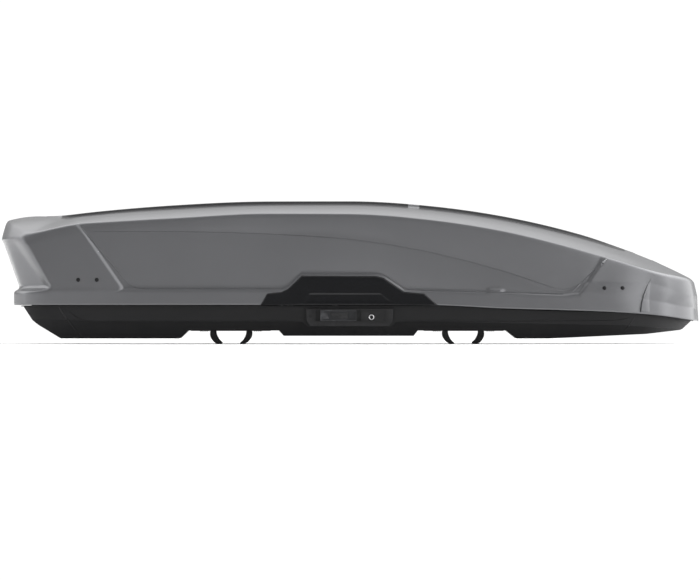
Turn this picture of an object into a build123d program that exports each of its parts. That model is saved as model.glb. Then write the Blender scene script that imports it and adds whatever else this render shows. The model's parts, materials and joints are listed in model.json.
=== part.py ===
from build123d import *

import math
import os
from collections import namedtuple
from functools import lru_cache

# Roof cargo box that opens from either side, as an assembly of separate pieces.
# Frame: +X towards the nose, +Y to the left, +Z up. The origin is on the ground that the clamp
# claws stand on, at the middle of the box's length and width. All sizes are millimetres.

# ---------------------------------------------------------------- driving sizes
LENGTH = 2320.0  # lid, rear lip to nose
RIM_WIDTH = 942.0  # lid across its rim, without the grip panels
CROWN_Z = 474.0  # highest line of the roof
LID_WALL = 3.0
TRAY_WALL = 3.5
PART_Z = 129.0  # lid's lower edge over the straight part of its length
PART_GAP = 2.0  # between the lid's edge and the tray's rim
NOSE_DROP = 55.0  # how far the lid's edge falls towards the nose

# Tray
BELT_Z = 74.0  # lower edge of the belt under the rim
BELT_DIP = 17.0  # how far the belt reaches down under the lock
SEAT_Z = 44.5  # underside that lies over the roof bars, above its pads
KEEL_Z = 27.0  # underside between the bars
SEAT_LONG = 284.0  # length of each bar seat
BULGE_Z = 18.0  # underside in front of and behind the bars
RIM_INSET = 18.0  # tray's rim, in from the lid's rim line
BELT_INSET = 20.0
BELT_DRAFT = 3.0  # how far the belt leans in towards the ground
LOWER_INSET = 33.0
LOWER_DRAFT = 46.0
RIM_LEDGE = 29.0  # width of the tray's rim
RIM_THICK = 3.0
UPSTAND_TALL = 6.0  # lip along the rim's inner edge, which laps the gap under the lid
UPSTAND_THICK = 3.0
TRAY_REAR = 80.0  # tray's rear edge, in from the lid's rear lip
TRAY_NOSE = 28.0

# Hinge and catch points, the same on both sides
HINGE_XS = (-760.0, -215.0, 480.0)
AXIS_INSET = 14.0  # hinge axis, in from the lid's rim line
AXIS_RISE = 8.0  # hinge axis above the lid's lower edge
PIN_R = 4.0
RUN_GAP = 0.05  # radial clearance of a turning fit
OPEN_DEG = 36.0
EAR_THICK = 4.0
EAR_GAP = 16.0  # between the two ears of a hinge bracket
EAR_R = 7.5
TOE_R = 2.0  # rounding at an ear's foot
CHANNEL_WALL = 4.0  # bracket's wall behind the lock bar
CHANNEL_LIP = 2.5  # and in front of it
PIN_END = 2.0  # hinge pin beyond its ears
BRACKET_TOE = 10.0  # bracket's foot beyond its ears
CATCH_GAP = 0.5  # side play of a catch between the ears
CATCH_SLOT_GAP = 0.3  # radial play of a catch over its pin
CATCH_WALL = 4.0

# Lock
LOCK_TRAVEL = 14.0
LOCK_LONG = 290.0  # lock housing along X
KEY_R = 9.3
KEY_X = 71.0
LOCK_MID_Z = 89.0  # middle of the key
KEYHOLE = (2.0, 9.0, 6.0)  # width, height and depth
HOUSING_DEEP = 20.0
HOUSING_WALL = 6.0
POCKET_DEEP = 14.0
KEY_DEEP = 5.0  # recess round the key, in from the housing's face
KEY_WALL_X = 36.0  # step between the slider's pocket and the key's recess
STEM_Z = (88.0, 98.0)
STEM_THICK = 5.5
STEM_PLAY = 3.0
TONGUE_R = 2.8
TONGUE_GAP = 0.4
LOCK_BAR_THICK = 3.0

# Roof bar clamps
BAR_XS = (-395.0, 376.0)  # rear and front clamp
CLAMP_INSET = 180.0  # clamp's centre, in from the lid's rim line
CLAMP_SLIDE = 45.0  # travel each way along the rail
CLAW_PIVOT_X = 50.0
CLAW_PIVOT_Z = 75.0
CLAW_WIDE = 24.0
CLAW_PIN_R = 5.0
CLAW_SWEEP = 31.0  # how far an opened claw reaches past its pivot at the floor
CLAW_SIDE_GAP = 1.5
CLAW_EYE_R = 11.0
LEVER_THICK = 9.0
CHEEK = 4.0  # cradle's side plates
CHEEK_GAP = 0.5
CRADLE_HALF = 100.0
CRADLE_THICK = 4.0
CRADLE_TOP = 5.0
LEVER_ARM = 36.0  # from the claw's pivot to where the crosshead lifts it
SCREW_LEAD = 6.0
CLAW_OPEN_DEG = 15.0
CLAW_CLOSE_DEG = 10.0
RAIL_WIDE = 60.0
RAIL_THICK = 3.0
RAIL_END = 138.0  # rail beyond the clamp's centre
PAD_LONG = 264.0
PAD_WIDE = 28.0
PAD_OUT = 20.0  # pad's middle line, out from the claw slot's edge
PAD_RIB_WIDE = 3.0
PAD_THICK = 1.5
PAD_RIB_TALL = 1.8  # anti-slip ribs at both ends of a pad
PAD_RIB_FROM = 78.0  # first rib, from the clamp's centre
PAD_RIB_STEP = 7.0
PAD_RIBS = 4
SPINDLE_R = 4.0
KNOB_R = 27.0
KNOB_TALL = 24.0
KNOB_FLUTES = 8
FLUTE_R = 11.0
FLUTE_OUT = 6.0  # centre of a flute, out from the knob's edge
KNOB_CAP = 6.0  # solid top of the knob
COLLAR_R = 9.0
COLLAR_TALL = 4.0
COLLAR_GAP = 0.3

# Lid struts, one at each place, standing on the tray's centre line
STRUT_XS = (-867.0, 590.0)
STRUT_FOOT_RISE = 24.0  # foot pin above the tray's floor
FOOT_PIN_R = 5.0
SADDLE_LEAN = 0.35  # how far each flank of a foot saddle leans out for each mm of height
STRUT_HEAD_DROP = 26.0  # upper pivot below the hoop
TUBE_R = 14.0
TUBE_WALL = 2.5
SLEEVE_WALL = 3.0
SLIDE_GAP = 0.1
STRUT_EYE_R = 11.0
STRUT_EYE_HALF = 7.0
STRUT_PIN_HALF = 17.0
HEAD_EYE_R = 8.0
HEAD_BORE_R = 4.0
HEAD_EYE_HALF = 6.0
SADDLE_R = 9.0
SADDLE_PLATE = (60.0, 48.0, 4.0)
SADDLE_TOE = 16.0
SADDLE_EARS = (8.0, 13.0)  # inner and outer face of an ear, out from the strut
FORK_PLATE = (40.0, 40.0, 5.0)
FORK_GAP = 7.5
FORK_EAR = 4.0
FORK_TOE = 14.0
FORK_STUD_R = 5.0

# Lid hoops: steel bows that stiffen the lid and carry the struts
HOOP_XS = (-867.0, 590.0, 871.0)
HOOP_WIDE = 90.0
HOOP_THICK = 2.0
HOOP_RIB = 20.0
HOOP_FOOT_Z = 150.0
RIVET_XS = (-898.0, -836.0, 841.0, 901.0)
RIVET_ZS = (212.0, 212.0, 186.0, 186.0)
RIVET_HEAD_R = 7.0
RIVET_R = 3.9
RIVET_GAP = 0.1
RIVET_PROUD = 3.0
RIVET_DEEP = 9.0

# Grip panels on the lid's sides
GRIP_PROUD = 4.0
GRIP_CUP_X = (-140.0, 118.0)
GRIP_CUP_TALL = 34.0
GRIP_CUP_DEEP = 26.0
GRIP_CUP_WALL = 3.0

# Plaque on the nose
BADGE_SIZE = (34.0, 130.0, 9.0)
BADGE_BACK = 125.0  # back from the nose
BADGE_SLOPE = 28.0

# ---------------------------------------------------------------- places worked out from the sizes
HALF = RIM_WIDTH / 2
REACH = LENGTH  # longer than anything that a cutting prism has to pass through
AXIS_Y = HALF - AXIS_INSET
AXIS_Z = PART_Z + AXIS_RISE
RIM_Z = PART_Z - PART_GAP  # top of the tray's rim
CLAMP_Y = HALF - CLAMP_INSET
FLOOR_SEAT = SEAT_Z + TRAY_WALL
FLOOR_BULGE = BULGE_Z + TRAY_WALL
RAIL_TOP = FLOOR_SEAT + RAIL_THICK


def rear(distance):
    """X of a place measured forwards from the lid's rear lip."""
    return -LENGTH / 2 + distance


def nose(distance):
    """X of a place measured backwards from the lid's nose."""
    return LENGTH / 2 - distance


# One cross-section of the lid. Heights are drops from the crown; insets run in from the rim line.
Station = namedtuple("Station", "x roof_drop flank_drop crease_drop roof_in crease_in rim_in")
STATIONS = (
    Station(rear(0), 67, 70, 120, 245, 48, 4),
    Station(rear(260), 39, 49, 83, 232, 38, 0),
    Station(rear(660), 8, 20, 56, 224, 31, 0),
    Station(rear(990), 0, 12, 42.5, 221, 29, 0),
    Station(nose(910), 17.5, 29.5, 66, 224, 30, 0),
    Station(nose(600), 58, 70, 117, 234, 36, 4),
    Station(nose(380), 114, 126, 174, 262, 58, 20),
    Station(nose(190), 180, 188, 228, 306, 96, 54),
    Station(nose(0), 272, 275, 284, 372, 166, 124),
)
FLANK_RUN = 7.0  # how far the roof's step leans out
CORNER_OUT = 9.0  # how far the corner cut's sides stand clear of the side walls
LOFT_FLOOR = 40.0  # the lid's sections run down to here before the rim is cut


# ---------------------------------------------------------------- outlines
def at(x, z, y=0.0):
    return Vector(x, y, z)


def across(*edges, half=REACH):
    """A prism across the box: a closed X-Z outline run half to each side."""
    return extrude(Face(Wire(edges)), amount=half, dir=(0, 1, 0), both=True)


def polygon_across(points, half=REACH):
    outline = Wire.make_polygon([at(x, z) for x, z in points])
    return extrude(Face(outline), amount=half, dir=(0, 1, 0), both=True)


def slab(x0, x1, y0, y1, z0, z1):
    """A box given by its two corners."""
    box = Box(x1 - x0, y1 - y0, z1 - z0)
    return Pos((x0 + x1) / 2, (y0 + y1) / 2, (z0 + z1) / 2) * box


def rod_x(x0, x1, y, z, radius):
    """A round bar along X."""
    return Pos((x0 + x1) / 2, y, z) * Rot(0, 90, 0) * Cylinder(radius, x1 - x0)


def rod_y(x, y0, y1, z, radius):
    return Pos(x, (y0 + y1) / 2, z) * Rot(90, 0, 0) * Cylinder(radius, y1 - y0)


def rod_z(x, y, z0, z1, radius):
    return Pos(x, y, (z0 + z1) / 2) * Cylinder(radius, z1 - z0)


def part_line(offset=0.0):
    """The curve between lid and tray, from behind the box to past its nose, moved up by offset."""
    z = PART_Z + offset
    straight = Line(at(rear(-50), z), at(nose(910), z))
    drop = Spline(
        at(nose(910), z),
        at(nose(650), z - 12),
        at(nose(360), z - 21),
        at(nose(100), z - 36),
        at(nose(0), z - NOSE_DROP),
        at(nose(-60), z - 80),
        tangents=[(1, 0, 0), (0.9, 0, -0.45)],
    )
    return straight, drop


def side_trim(offset, above, reach=REACH):
    """Everything above (or below) the part line moved up by offset, across the whole box."""
    straight, drop = part_line(offset)
    level = reach if above else -reach
    left, right = straight @ 0, drop @ 1
    return across(
        straight,
        drop,
        Line(right, at(right.X, level)),
        Line(at(right.X, level), at(left.X, level)),
        Line(at(left.X, level), left),
    )


def plan_face(inset, rear_x, z=0.0, side_out=0.0):
    """The rim line's plan, moved in by inset, with a rounded nose and round rear corners.

    side_out moves the long sides outwards again, ahead of a cut that should miss them.
    """
    half = HALF - inset + side_out
    corner_x = rear(175)
    radius = corner_x - rear_x
    side = [(corner_x, 0), (rear(660), 0), (nose(910), 0), (nose(600), 4), (nose(380), 20), (nose(190), 54)]
    half_line = [Vector(x, -(half - rim_in), z) for x, rim_in in side]
    for back, rim_in in ((72, 165), (18, 300)):
        half_line.append(Vector(nose(back) - inset * 0.8, -(HALF - inset - rim_in), z))
    half_line.append(Vector(nose(inset), 0, z))
    other = [Vector(p.X, -p.Y, p.Z) for p in reversed(half_line[:-1])]
    hull = Spline(*half_line, *other, tangents=[(1, 0, 0), (-1, 0, 0)])
    low = Vector(rear_x, -(half - radius), z)
    high = Vector(rear_x, half - radius, z)
    back = Line(high, low)
    share = radius * (1 - math.sqrt(0.5))
    left_corner = ThreePointArc(hull @ 1, Vector(rear_x + share, half - share, z), high)
    right_corner = ThreePointArc(low, Vector(rear_x + share, -(half - share), z), hull @ 0)
    return Face(Wire([hull, left_corner, back, right_corner]))


# ---------------------------------------------------------------- lid
def lid_section(station, inset):
    """One closed cross-section of the lid, moved in by inset."""
    roof = CROWN_Z - station.roof_drop - inset
    flank = CROWN_Z - station.flank_drop - inset
    crease = CROWN_Z - station.crease_drop - inset
    roof_y = HALF - station.roof_in - inset
    crease_y = HALF - station.crease_in - inset
    rim_y = HALF - station.rim_in - inset
    right = [(roof_y, roof), (roof_y + FLANK_RUN, flank), (crease_y, crease)]
    right += [(rim_y, PART_Z), (rim_y, LOFT_FLOOR)]
    left = [(-y, z) for y, z in reversed(right)]
    return Face(Wire.make_polygon([Vector(station.x, y, z) for y, z in right + left]))


@lru_cache(maxsize=None)
def lid_body(inset):
    return loft([lid_section(station, inset) for station in STATIONS])


def lid_ends(inset):
    """The lid's side view and plan as one prism: rear spoiler and nose."""
    lip_z = CROWN_Z - 129.0
    top = CROWN_Z + 100.0
    outline = [
        (rear(48) + inset, -top),
        (rear(48) + inset, PART_Z + 49 - inset),
        (rear(67) + inset, PART_Z + 51 - inset),
        (rear(0) + inset, lip_z),
        (rear(18) + inset, CROWN_Z - 66 + 1),
        (rear(18) + inset, top),
        (nose(5) - inset, top),
        (nose(4) - inset, CROWN_Z - 284),
        (nose(0) - inset, PART_Z - NOSE_DROP),
        (nose(0) - inset, -top),
    ]
    plan = extrude(plan_face(inset, rear(0) + inset, side_out=CORNER_OUT), amount=top, dir=(0, 0, 1))
    return polygon_across(outline) & plan


def make_lid():
    outer = lid_body(0) & lid_ends(0) & side_trim(0, above=True)
    inner = lid_body(LID_WALL) & lid_ends(LID_WALL)
    shell = outer - inner
    for side in (-1, 1):
        x0, x1 = GRIP_CUP_X
        back = HALF - GRIP_CUP_DEEP
        z1 = PART_Z + GRIP_CUP_TALL
        wall = GRIP_CUP_WALL
        y_in, y_out = sorted((side * (back - wall), side * (HALF + 20)))
        block = slab(x0 - wall, x1 + wall, y_in, y_out, PART_Z, z1 + wall) & outer
        y_in, y_out = sorted((side * back, side * (HALF + 20)))
        shell = shell + block - slab(x0, x1, y_in, y_out, PART_Z - 20, z1)
    for x, z in zip(RIVET_XS, RIVET_ZS):
        shell -= rod_y(x, -HALF, HALF, z, RIVET_R + RIVET_GAP)
    return shell, outer


def grip_outline():
    """X-Z corners of a grip panel, following the lock below it."""
    return [
        (-297, PART_Z),
        (-274, PART_Z + 39),
        (-226, PART_Z + 44),
        (-205, PART_Z + 54),
        (-160, PART_Z + 97),
        (88, PART_Z + 96),
        (112, PART_Z + 90),
        (180, PART_Z + 44),
        (247, PART_Z + 38),
        (292, PART_Z),
    ]


def make_grip(side):
    skin = lid_body(-GRIP_PROUD) - lid_body(0)
    y0, y1 = sorted((side * HALF * 0.6, side * (HALF + 40)))
    panel = skin & polygon_across(grip_outline()) & slab(-400, 400, y0, y1, 0, CROWN_Z)
    return panel.solids()[0]


@lru_cache(maxsize=None)
def hoop(x):
    """A steel bow inside the lid: a band against the skin with a rib down its middle."""
    band = lid_body(LID_WALL) - lid_body(LID_WALL + HOOP_THICK)
    rib = lid_body(LID_WALL + HOOP_THICK) - lid_body(LID_WALL + HOOP_THICK + HOOP_RIB)
    wide = slab(x - HOOP_WIDE / 2, x + HOOP_WIDE / 2, -HALF, HALF, HOOP_FOOT_Z, CROWN_Z)
    narrow = slab(x - HOOP_THICK, x + HOOP_THICK, -HALF, HALF, HOOP_FOOT_Z, CROWN_Z)
    bow = (band & wide) + (rib & narrow)
    for rivet_x, z in zip(RIVET_XS, RIVET_ZS):
        bow -= rod_y(rivet_x, -HALF, HALF, z, RIVET_R + RIVET_GAP)
    return bow


def make_rivets(outer):
    """Four rivets to a side, each head dished to the slope of the wall."""
    rivets = []
    for x, z in zip(RIVET_XS, RIVET_ZS):
        for side in (-1, 1):
            wall_y = side * rim_reach(outer, x, z)
            y0, y1 = sorted((wall_y + side * RIVET_PROUD, wall_y - side * RIVET_DEEP * 2 / 3))
            head = rod_y(x, y0, y1, z, RIVET_HEAD_R) - outer
            y0, y1 = sorted((wall_y + side * RIVET_PROUD / 3, wall_y - side * RIVET_DEEP))
            rivets.append((head + rod_y(x, y0, y1, z, RIVET_R)).solids()[0])
    return Compound(children=rivets)


def rim_reach(outer, x, z):
    """How far out the lid's outer wall is at this X and Z."""
    probe = outer & rod_y(x, 0, HALF + 50, z, 0.5)
    return probe.bounding_box().max.Y


def roof_under(x):
    """Height of the lid's inner roof on the centre line."""
    probe = lid_body(LID_WALL) & rod_z(x, 0, PART_Z, CROWN_Z + 50, 0.5)
    return probe.bounding_box().max.Z


# ---------------------------------------------------------------- tray
def tray_profile(wall):
    """The tray's side view, moved in by wall: rear sweep, bulges, bar seats, keel and nose."""
    r, w = rear, wall
    zone = SEAT_LONG / 2 + w / 2
    step = 28.0
    back, front = BAR_XS
    low, seat, keel = BULGE_Z + w, SEAT_Z + w, KEEL_Z + w
    return [
        (r(TRAY_REAR) + w, PART_Z + 200),
        (r(TRAY_REAR) + w, PART_Z - 4),
        (r(111) + w, 78 + w / 2),
        (r(130) + w, 63 + w / 2),
        (r(204) + w / 3, low),
        (back - zone - step, low),
        (back - zone, seat),
        (back + zone + 18, seat),
        (back + zone + 34, keel),
        (front - zone - 24, keel),
        (front - zone - 10, seat),
        (front + zone, seat),
        (front + zone + step + 6, low),
        (nose(500), low),
        (nose(180), low + 15),
        (nose(62) - w / 2, low + 28),
        (nose(TRAY_NOSE) - w, 75 + w),
        (nose(TRAY_NOSE) - w, PART_Z + 200),
    ]


def belt_line():
    """X-Z points of the belt's lower edge, with the dip that carries the lock."""
    return [
        (rear(0), BELT_Z + 8),
        (rear(235), BELT_Z + 6),
        (rear(310), BELT_Z),
        (-LOCK_LONG / 2 - 14, BELT_Z),
        (-LOCK_LONG / 2 + 6, BELT_Z - BELT_DIP),
        (LOCK_LONG / 2 - 10, BELT_Z - BELT_DIP),
        (LOCK_LONG / 2 + 10, BELT_Z),
        (nose(910), BELT_Z),
        (nose(250), BELT_Z - 12),
        (nose(0), BELT_Z - 30),
    ]


def tray_back(wall):
    """X that the tray's plan reaches back to, before its side view trims it."""
    return rear(TRAY_REAR) - 20 + wall


@lru_cache(maxsize=None)
def belt_bulk(wall):
    """The belt tier as a full solid over the tray's whole height, moved in by wall."""
    low = plan_face(BELT_INSET + BELT_DRAFT + wall, tray_back(wall), 0.0)
    high = plan_face(BELT_INSET + wall, tray_back(wall), PART_Z + 60)
    return loft([low, high], ruled=True)


def tray_bulk(wall):
    """The tray as a full solid, moved in by wall: the belt tier over the narrower lower tier."""
    belt = [(x, z + wall) for x, z in belt_line()]
    round_above = [(REACH, belt[-1][1]), (REACH, REACH), (-REACH, REACH), (-REACH, belt[0][1])]
    above = polygon_across(belt + round_above)
    low = plan_face(LOWER_INSET + LOWER_DRAFT + wall, tray_back(wall), 0.0)
    high = plan_face(LOWER_INSET + wall, tray_back(wall), BELT_Z + 20)
    lower = loft([low, high], ruled=True)
    side = polygon_across(tray_profile(wall))
    return (belt_bulk(wall) & above & side) + ((lower - above) & side)


def make_tray():
    outer = tray_bulk(0) & side_trim(-PART_GAP, above=False)
    inner = tray_bulk(TRAY_WALL)
    tray = outer - inner
    rim_top = side_trim(-PART_GAP, above=False)
    rim_low = side_trim(-PART_GAP - RIM_THICK, above=False)
    back = rear(TRAY_REAR)
    rim_face = plan_face(RIM_INSET, back - 8) - plan_face(RIM_INSET + RIM_LEDGE, back + RIM_LEDGE)
    rim = (extrude(rim_face, amount=400, dir=(0, 0, 1)) & rim_top) - rim_low
    lip_face = plan_face(RIM_INSET + RIM_LEDGE - UPSTAND_THICK, back + RIM_LEDGE - UPSTAND_THICK)
    lip_face -= plan_face(RIM_INSET + RIM_LEDGE, back + RIM_LEDGE)
    lip_top = side_trim(UPSTAND_TALL - PART_GAP, above=False)
    lip = (extrude(lip_face, amount=400, dir=(0, 0, 1)) & lip_top) - rim_low
    for x in HINGE_XS:
        half = bracket_half() + UPSTAND_THICK
        lip -= slab(x - half, x + half, -HALF, HALF, RIM_Z - PART_Z / 2, PART_Z + UPSTAND_TALL)
    tray = tray + rim + lip
    for x in BAR_XS:
        for side in (-1, 1):
            tray -= claw_slot(x, side * CLAMP_Y, 0, FLOOR_SEAT + 1)
    for side in (-1, 1):
        tray -= lock_window(side)
    return tray


def claw_slot(x, y, z0, z1):
    """The long slot that both claws of one clamp reach down through."""
    half_long = CLAW_PIVOT_X + CLAW_SWEEP + CLAMP_SLIDE
    half_wide = CLAW_WIDE / 2 + CLAW_SIDE_GAP
    return slab(x - half_long, x + half_long, y - half_wide, y + half_wide, z0, z1)


def make_pads():
    """Ribbed rubber seats under the tray, one each side of every claw slot."""
    pads = []
    low = SEAT_Z - PAD_THICK
    for x in BAR_XS:
        for side in (-1, 1):
            for row in (-1, 1):
                y = side * CLAMP_Y + row * (CLAW_WIDE / 2 + PAD_OUT)
                y0, y1 = y - PAD_WIDE / 2, y + PAD_WIDE / 2
                pad = slab(x - PAD_LONG / 2, x + PAD_LONG / 2, y0, y1, low, SEAT_Z)
                for end in (-1, 1):
                    for rib in range(PAD_RIBS):
                        rib_x0 = x + end * (PAD_RIB_FROM + rib * PAD_RIB_STEP) - PAD_RIB_WIDE / 2
                        pad += slab(rib_x0, rib_x0 + PAD_RIB_WIDE, y0, y1, low - PAD_RIB_TALL, SEAT_Z)
                pads.append(pad.solids()[0])
    return Compound(children=pads)


def make_rails():
    """Two steel rails that stiffen the floor and carry the clamps."""
    rails = []
    x0, x1 = BAR_XS[0] - RAIL_END, BAR_XS[1] + RAIL_END
    for side in (-1, 1):
        y = side * CLAMP_Y
        rail = slab(x0, x1, y - RAIL_WIDE / 2, y + RAIL_WIDE / 2, FLOOR_SEAT, RAIL_TOP)
        for x in BAR_XS:
            rail -= claw_slot(x, y, 0, RAIL_TOP + 1)
        rails.append(rail.solids()[0])
    return Compound(children=rails)


# ---------------------------------------------------------------- hinge points
def hull_yz(points_and_radii, x0, x1):
    """A plate across X whose outline wraps the given circles (y, z, radius)."""
    sketch = Sketch() + [Pos(y, z) * Circle(r) for y, z, r in points_and_radii]
    face = make_hull(sketch.edges())
    plane = Plane(origin=(x0, 0, 0), x_dir=(0, 1, 0), z_dir=(1, 0, 0))
    return extrude(plane * face, amount=x1 - x0)


TONGUE_Y = AXIS_Y - 14.0
TONGUE_Z = AXIS_Z + 10.0
BAR_IN = AXIS_Y - 27.0  # lock bar's inner face
BAR_LOW = RIM_Z + 4.5
BAR_HIGH = BAR_LOW + 20.0


def mirrored(piece, side):
    return piece if side > 0 else mirror(piece, about=Plane.XZ)


def bracket_half():
    """Half of a hinge bracket's foot along X."""
    return EAR_GAP / 2 + EAR_THICK + BRACKET_TOE


def make_brackets(side):
    """Steel brackets on the tray's rim: two ears for the hinge pin and a channel for the lock bar."""
    brackets = []
    for x in HINGE_XS:
        base_z = rim_height(x + bracket_half()) - 1
        half = EAR_GAP / 2
        x0, x1 = x - bracket_half(), x + bracket_half()
        wall_y = BAR_IN - CHANNEL_WALL - 1
        foot = slab(x0, x1, wall_y, AXIS_Y - EAR_R - 1.5, base_z, BAR_LOW - 0.5)
        foot += slab(x0, x1, wall_y, wall_y + CHANNEL_WALL, base_z, BAR_HIGH - 2)
        lip_y = BAR_IN + LOCK_BAR_THICK + 1
        foot += slab(x0, x1, lip_y, lip_y + CHANNEL_LIP, base_z, BAR_HIGH - 9)
        toes = [(BAR_IN + 4 * TOE_R, base_z + 1.5 * TOE_R, TOE_R)]
        toes.append((AXIS_Y - 5.5 * TOE_R, base_z + TOE_R, TOE_R))
        for ear_x in (x - half - EAR_THICK, x + half):
            foot += hull_yz([(AXIS_Y, AXIS_Z, EAR_R), *toes], ear_x, ear_x + EAR_THICK)
        foot -= rod_x(x0 - 1, x1 + 1, AXIS_Y, AXIS_Z, PIN_R + RUN_GAP)
        foot -= side_trim(-PART_GAP, above=False)
        brackets.append(mirrored(foot, side).solids()[0])
    return Compound(children=brackets)


def rim_height(x):
    """Top of the tray's rim at this X."""
    if x <= nose(910):
        return RIM_Z
    straight, drop = part_line(-PART_GAP)
    return rim_cut(drop, x)


def rim_cut(curve, x):
    """Height of a curve that runs along X, by halving."""
    low, high = 0.0, 1.0
    for _ in range(40):
        middle = (low + high) / 2
        if (curve @ middle).X < x:
            low = middle
        else:
            high = middle
    return (curve @ low).Z


def make_pins(side):
    """Hinge pins that the catches turn on."""
    half = EAR_GAP / 2 + EAR_THICK + PIN_END
    return Compound(children=[rod_x(x - half, x + half, side * AXIS_Y, AXIS_Z, PIN_R) for x in HINGE_XS])


def make_catches(side):
    """Hooks riveted inside the lid: each drops over its pin and has an eye for the lock's tongue."""
    catches = []
    inside = lid_body(LID_WALL)
    for x in HINGE_XS:
        x0 = x - EAR_GAP / 2 + CATCH_GAP
        x1 = x + EAR_GAP / 2 - CATCH_GAP
        slot = PIN_R + CATCH_SLOT_GAP
        eye = TONGUE_R + TONGUE_GAP
        upper = (AXIS_Y + 3, AXIS_Z + 34, CATCH_WALL + 1)
        hook = hull_yz([(AXIS_Y, AXIS_Z, slot + CATCH_WALL), upper], x0, x1)
        hook += hull_yz([(AXIS_Y, TONGUE_Z, CATCH_WALL), (TONGUE_Y, TONGUE_Z, eye + 2.8)], x0, x1)
        hook += slab(x0, x1, AXIS_Y, HALF, AXIS_Z + 3 * CATCH_WALL, AXIS_Z + 38)
        hook = hook & inside
        hook -= slab(x0 - 1, x1 + 1, AXIS_Y - slot, AXIS_Y + slot, 0, AXIS_Z)
        hook -= rod_x(x0 - 1, x1 + 1, AXIS_Y, AXIS_Z, slot)
        hook -= rod_x(x0 - 1, x1 + 1, TONGUE_Y, TONGUE_Z, eye)
        catches.append(mirrored(hook, side).solids()[0])
    return Compound(children=catches)


# ---------------------------------------------------------------- lock
LOCK_Z0 = BELT_Z - BELT_DIP + 3
LOCK_Z1 = PART_Z - 13
LOCK_OUT = HALF - 12.0  # housing's outer face
BELT_FACE = HALF - BELT_INSET - BELT_DRAFT - 0.5
POCKET = (-114.0, 116.0, 76.0, 112.0)  # X and Z limits of the recess
POCKET_FLOOR = LOCK_OUT - POCKET_DEEP
HOUSING_BACK = LOCK_OUT - HOUSING_DEEP
SLIDER_X = (-98.0, 21.0)
STEM_X = (-60.0, -40.0)
STEM_Y = (BAR_IN + LOCK_BAR_THICK, BAR_IN + LOCK_BAR_THICK + STEM_THICK)


def lock_window(side):
    """Hole in the belt for the housing's body, and the notch in the rim for the slider's riser."""
    x0, x1, z0, z1 = POCKET
    y0, y1 = sorted((side * (HOUSING_BACK - 30), side * (HALF + 30)))
    edge = HOUSING_WALL + 0.5
    window = slab(x0 - edge, x1 + edge, y0, y1, z0 - edge, z1 + edge - 2)
    y0, y1 = sorted((side * (STEM_Y[0] - 8), side * (STEM_Y[1] + STEM_PLAY)))
    x0, x1 = STEM_X[0] - LOCK_TRAVEL - STEM_PLAY, STEM_X[1] + STEM_PLAY
    return window + slab(x0, x1, y0, y1, RIM_Z - 12, RIM_Z + 5)


def make_lock_housing(side):
    half = LOCK_LONG / 2
    outline = [(-half, LOCK_Z1), (-half + 2, LOCK_Z0 + 16), (-half + 14, LOCK_Z0), (half - 16, LOCK_Z0),
               (half - 4, LOCK_Z0 + 16), (half - 2, LOCK_Z1)]
    plate = polygon_across(outline, half=HALF + 60) & slab(-half, half, BELT_FACE, LOCK_OUT, 0, PART_Z)
    plate = plate - belt_bulk(0)
    x0, x1, z0, z1 = POCKET
    wall = HOUSING_WALL
    body = slab(x0 - wall, x1 + wall, HOUSING_BACK, LOCK_OUT - KEY_DEEP, z0 - wall, z1 + wall - 2)
    housing = plate + body
    housing -= slab(x0, KEY_WALL_X, POCKET_FLOOR, LOCK_OUT + 1, z0, z1)
    housing -= slab(KEY_WALL_X, x1, LOCK_OUT - KEY_DEEP, LOCK_OUT + 1, z0, z1)
    x0, x1 = STEM_X[0] - LOCK_TRAVEL - 1, STEM_X[1] + 1
    housing -= slab(x0, x1, HOUSING_BACK - 1, POCKET_FLOOR + 1, STEM_Z[0] - 2, STEM_Z[1] + 2)
    housing -= rod_y(KEY_X, HOUSING_BACK - 1, LOCK_OUT + 1, LOCK_MID_Z, KEY_R + RUN_GAP)
    return mirrored(housing.solids()[0], side)


def make_slider(side):
    """Thumb slider with a finger hollow; its stem passes through the housing to the lock bar."""
    x0, x1 = SLIDER_X
    z0, z1 = POCKET[2] + 0.5, POCKET[3] - 0.5
    grip = slab(x0, x1, POCKET_FLOOR + 0.3, LOCK_OUT - 3, z0, z1)
    grip -= slab(x1 - 30, x1 - 2, POCKET_FLOOR + 3, LOCK_OUT, z0 + 4, z1 - 4)
    grip -= slab(x0 + 22, x0 + 42, LOCK_OUT - 6, LOCK_OUT, z0 + 4, z1 - 4)
    grip += slab(*STEM_X, STEM_Y[0], POCKET_FLOOR + 1, *STEM_Z)
    grip += slab(*STEM_X, *STEM_Y, STEM_Z[0], BAR_HIGH)
    return mirrored(grip.solids()[0], side)


def make_lock_bar(side):
    """Flat bar along the rim with a tongue for each catch."""
    x0 = HINGE_XS[0] - 30
    x1 = HINGE_XS[-1] + EAR_GAP / 2 + LOCK_TRAVEL + 22
    bar = slab(x0, x1, BAR_IN, BAR_IN + LOCK_BAR_THICK, BAR_LOW, BAR_HIGH)
    for x in HINGE_XS:
        start = x + EAR_GAP / 2 + 1.5
        tab_x = x + EAR_GAP / 2 + LOCK_TRAVEL + 0.5
        bar += rod_x(start, tab_x + 1, TONGUE_Y, TONGUE_Z, TONGUE_R)
        bar += slab(tab_x, tab_x + 4, BAR_IN, TONGUE_Y + TONGUE_R, TONGUE_Z - TONGUE_R, TONGUE_Z + TONGUE_R)
    return mirrored(bar.solids()[0], side)


def make_key_cylinder(side):
    wide, tall, deep = KEYHOLE
    face = LOCK_OUT - 1
    plug = rod_y(KEY_X, HOUSING_BACK - 4, face, LOCK_MID_Z, KEY_R)
    low, high = LOCK_MID_Z - tall / 2, LOCK_MID_Z + tall / 2
    plug -= slab(KEY_X - wide / 2, KEY_X + wide / 2, face - deep, face + 1, low, high)
    return mirrored(plug.solids()[0], side)


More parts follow.
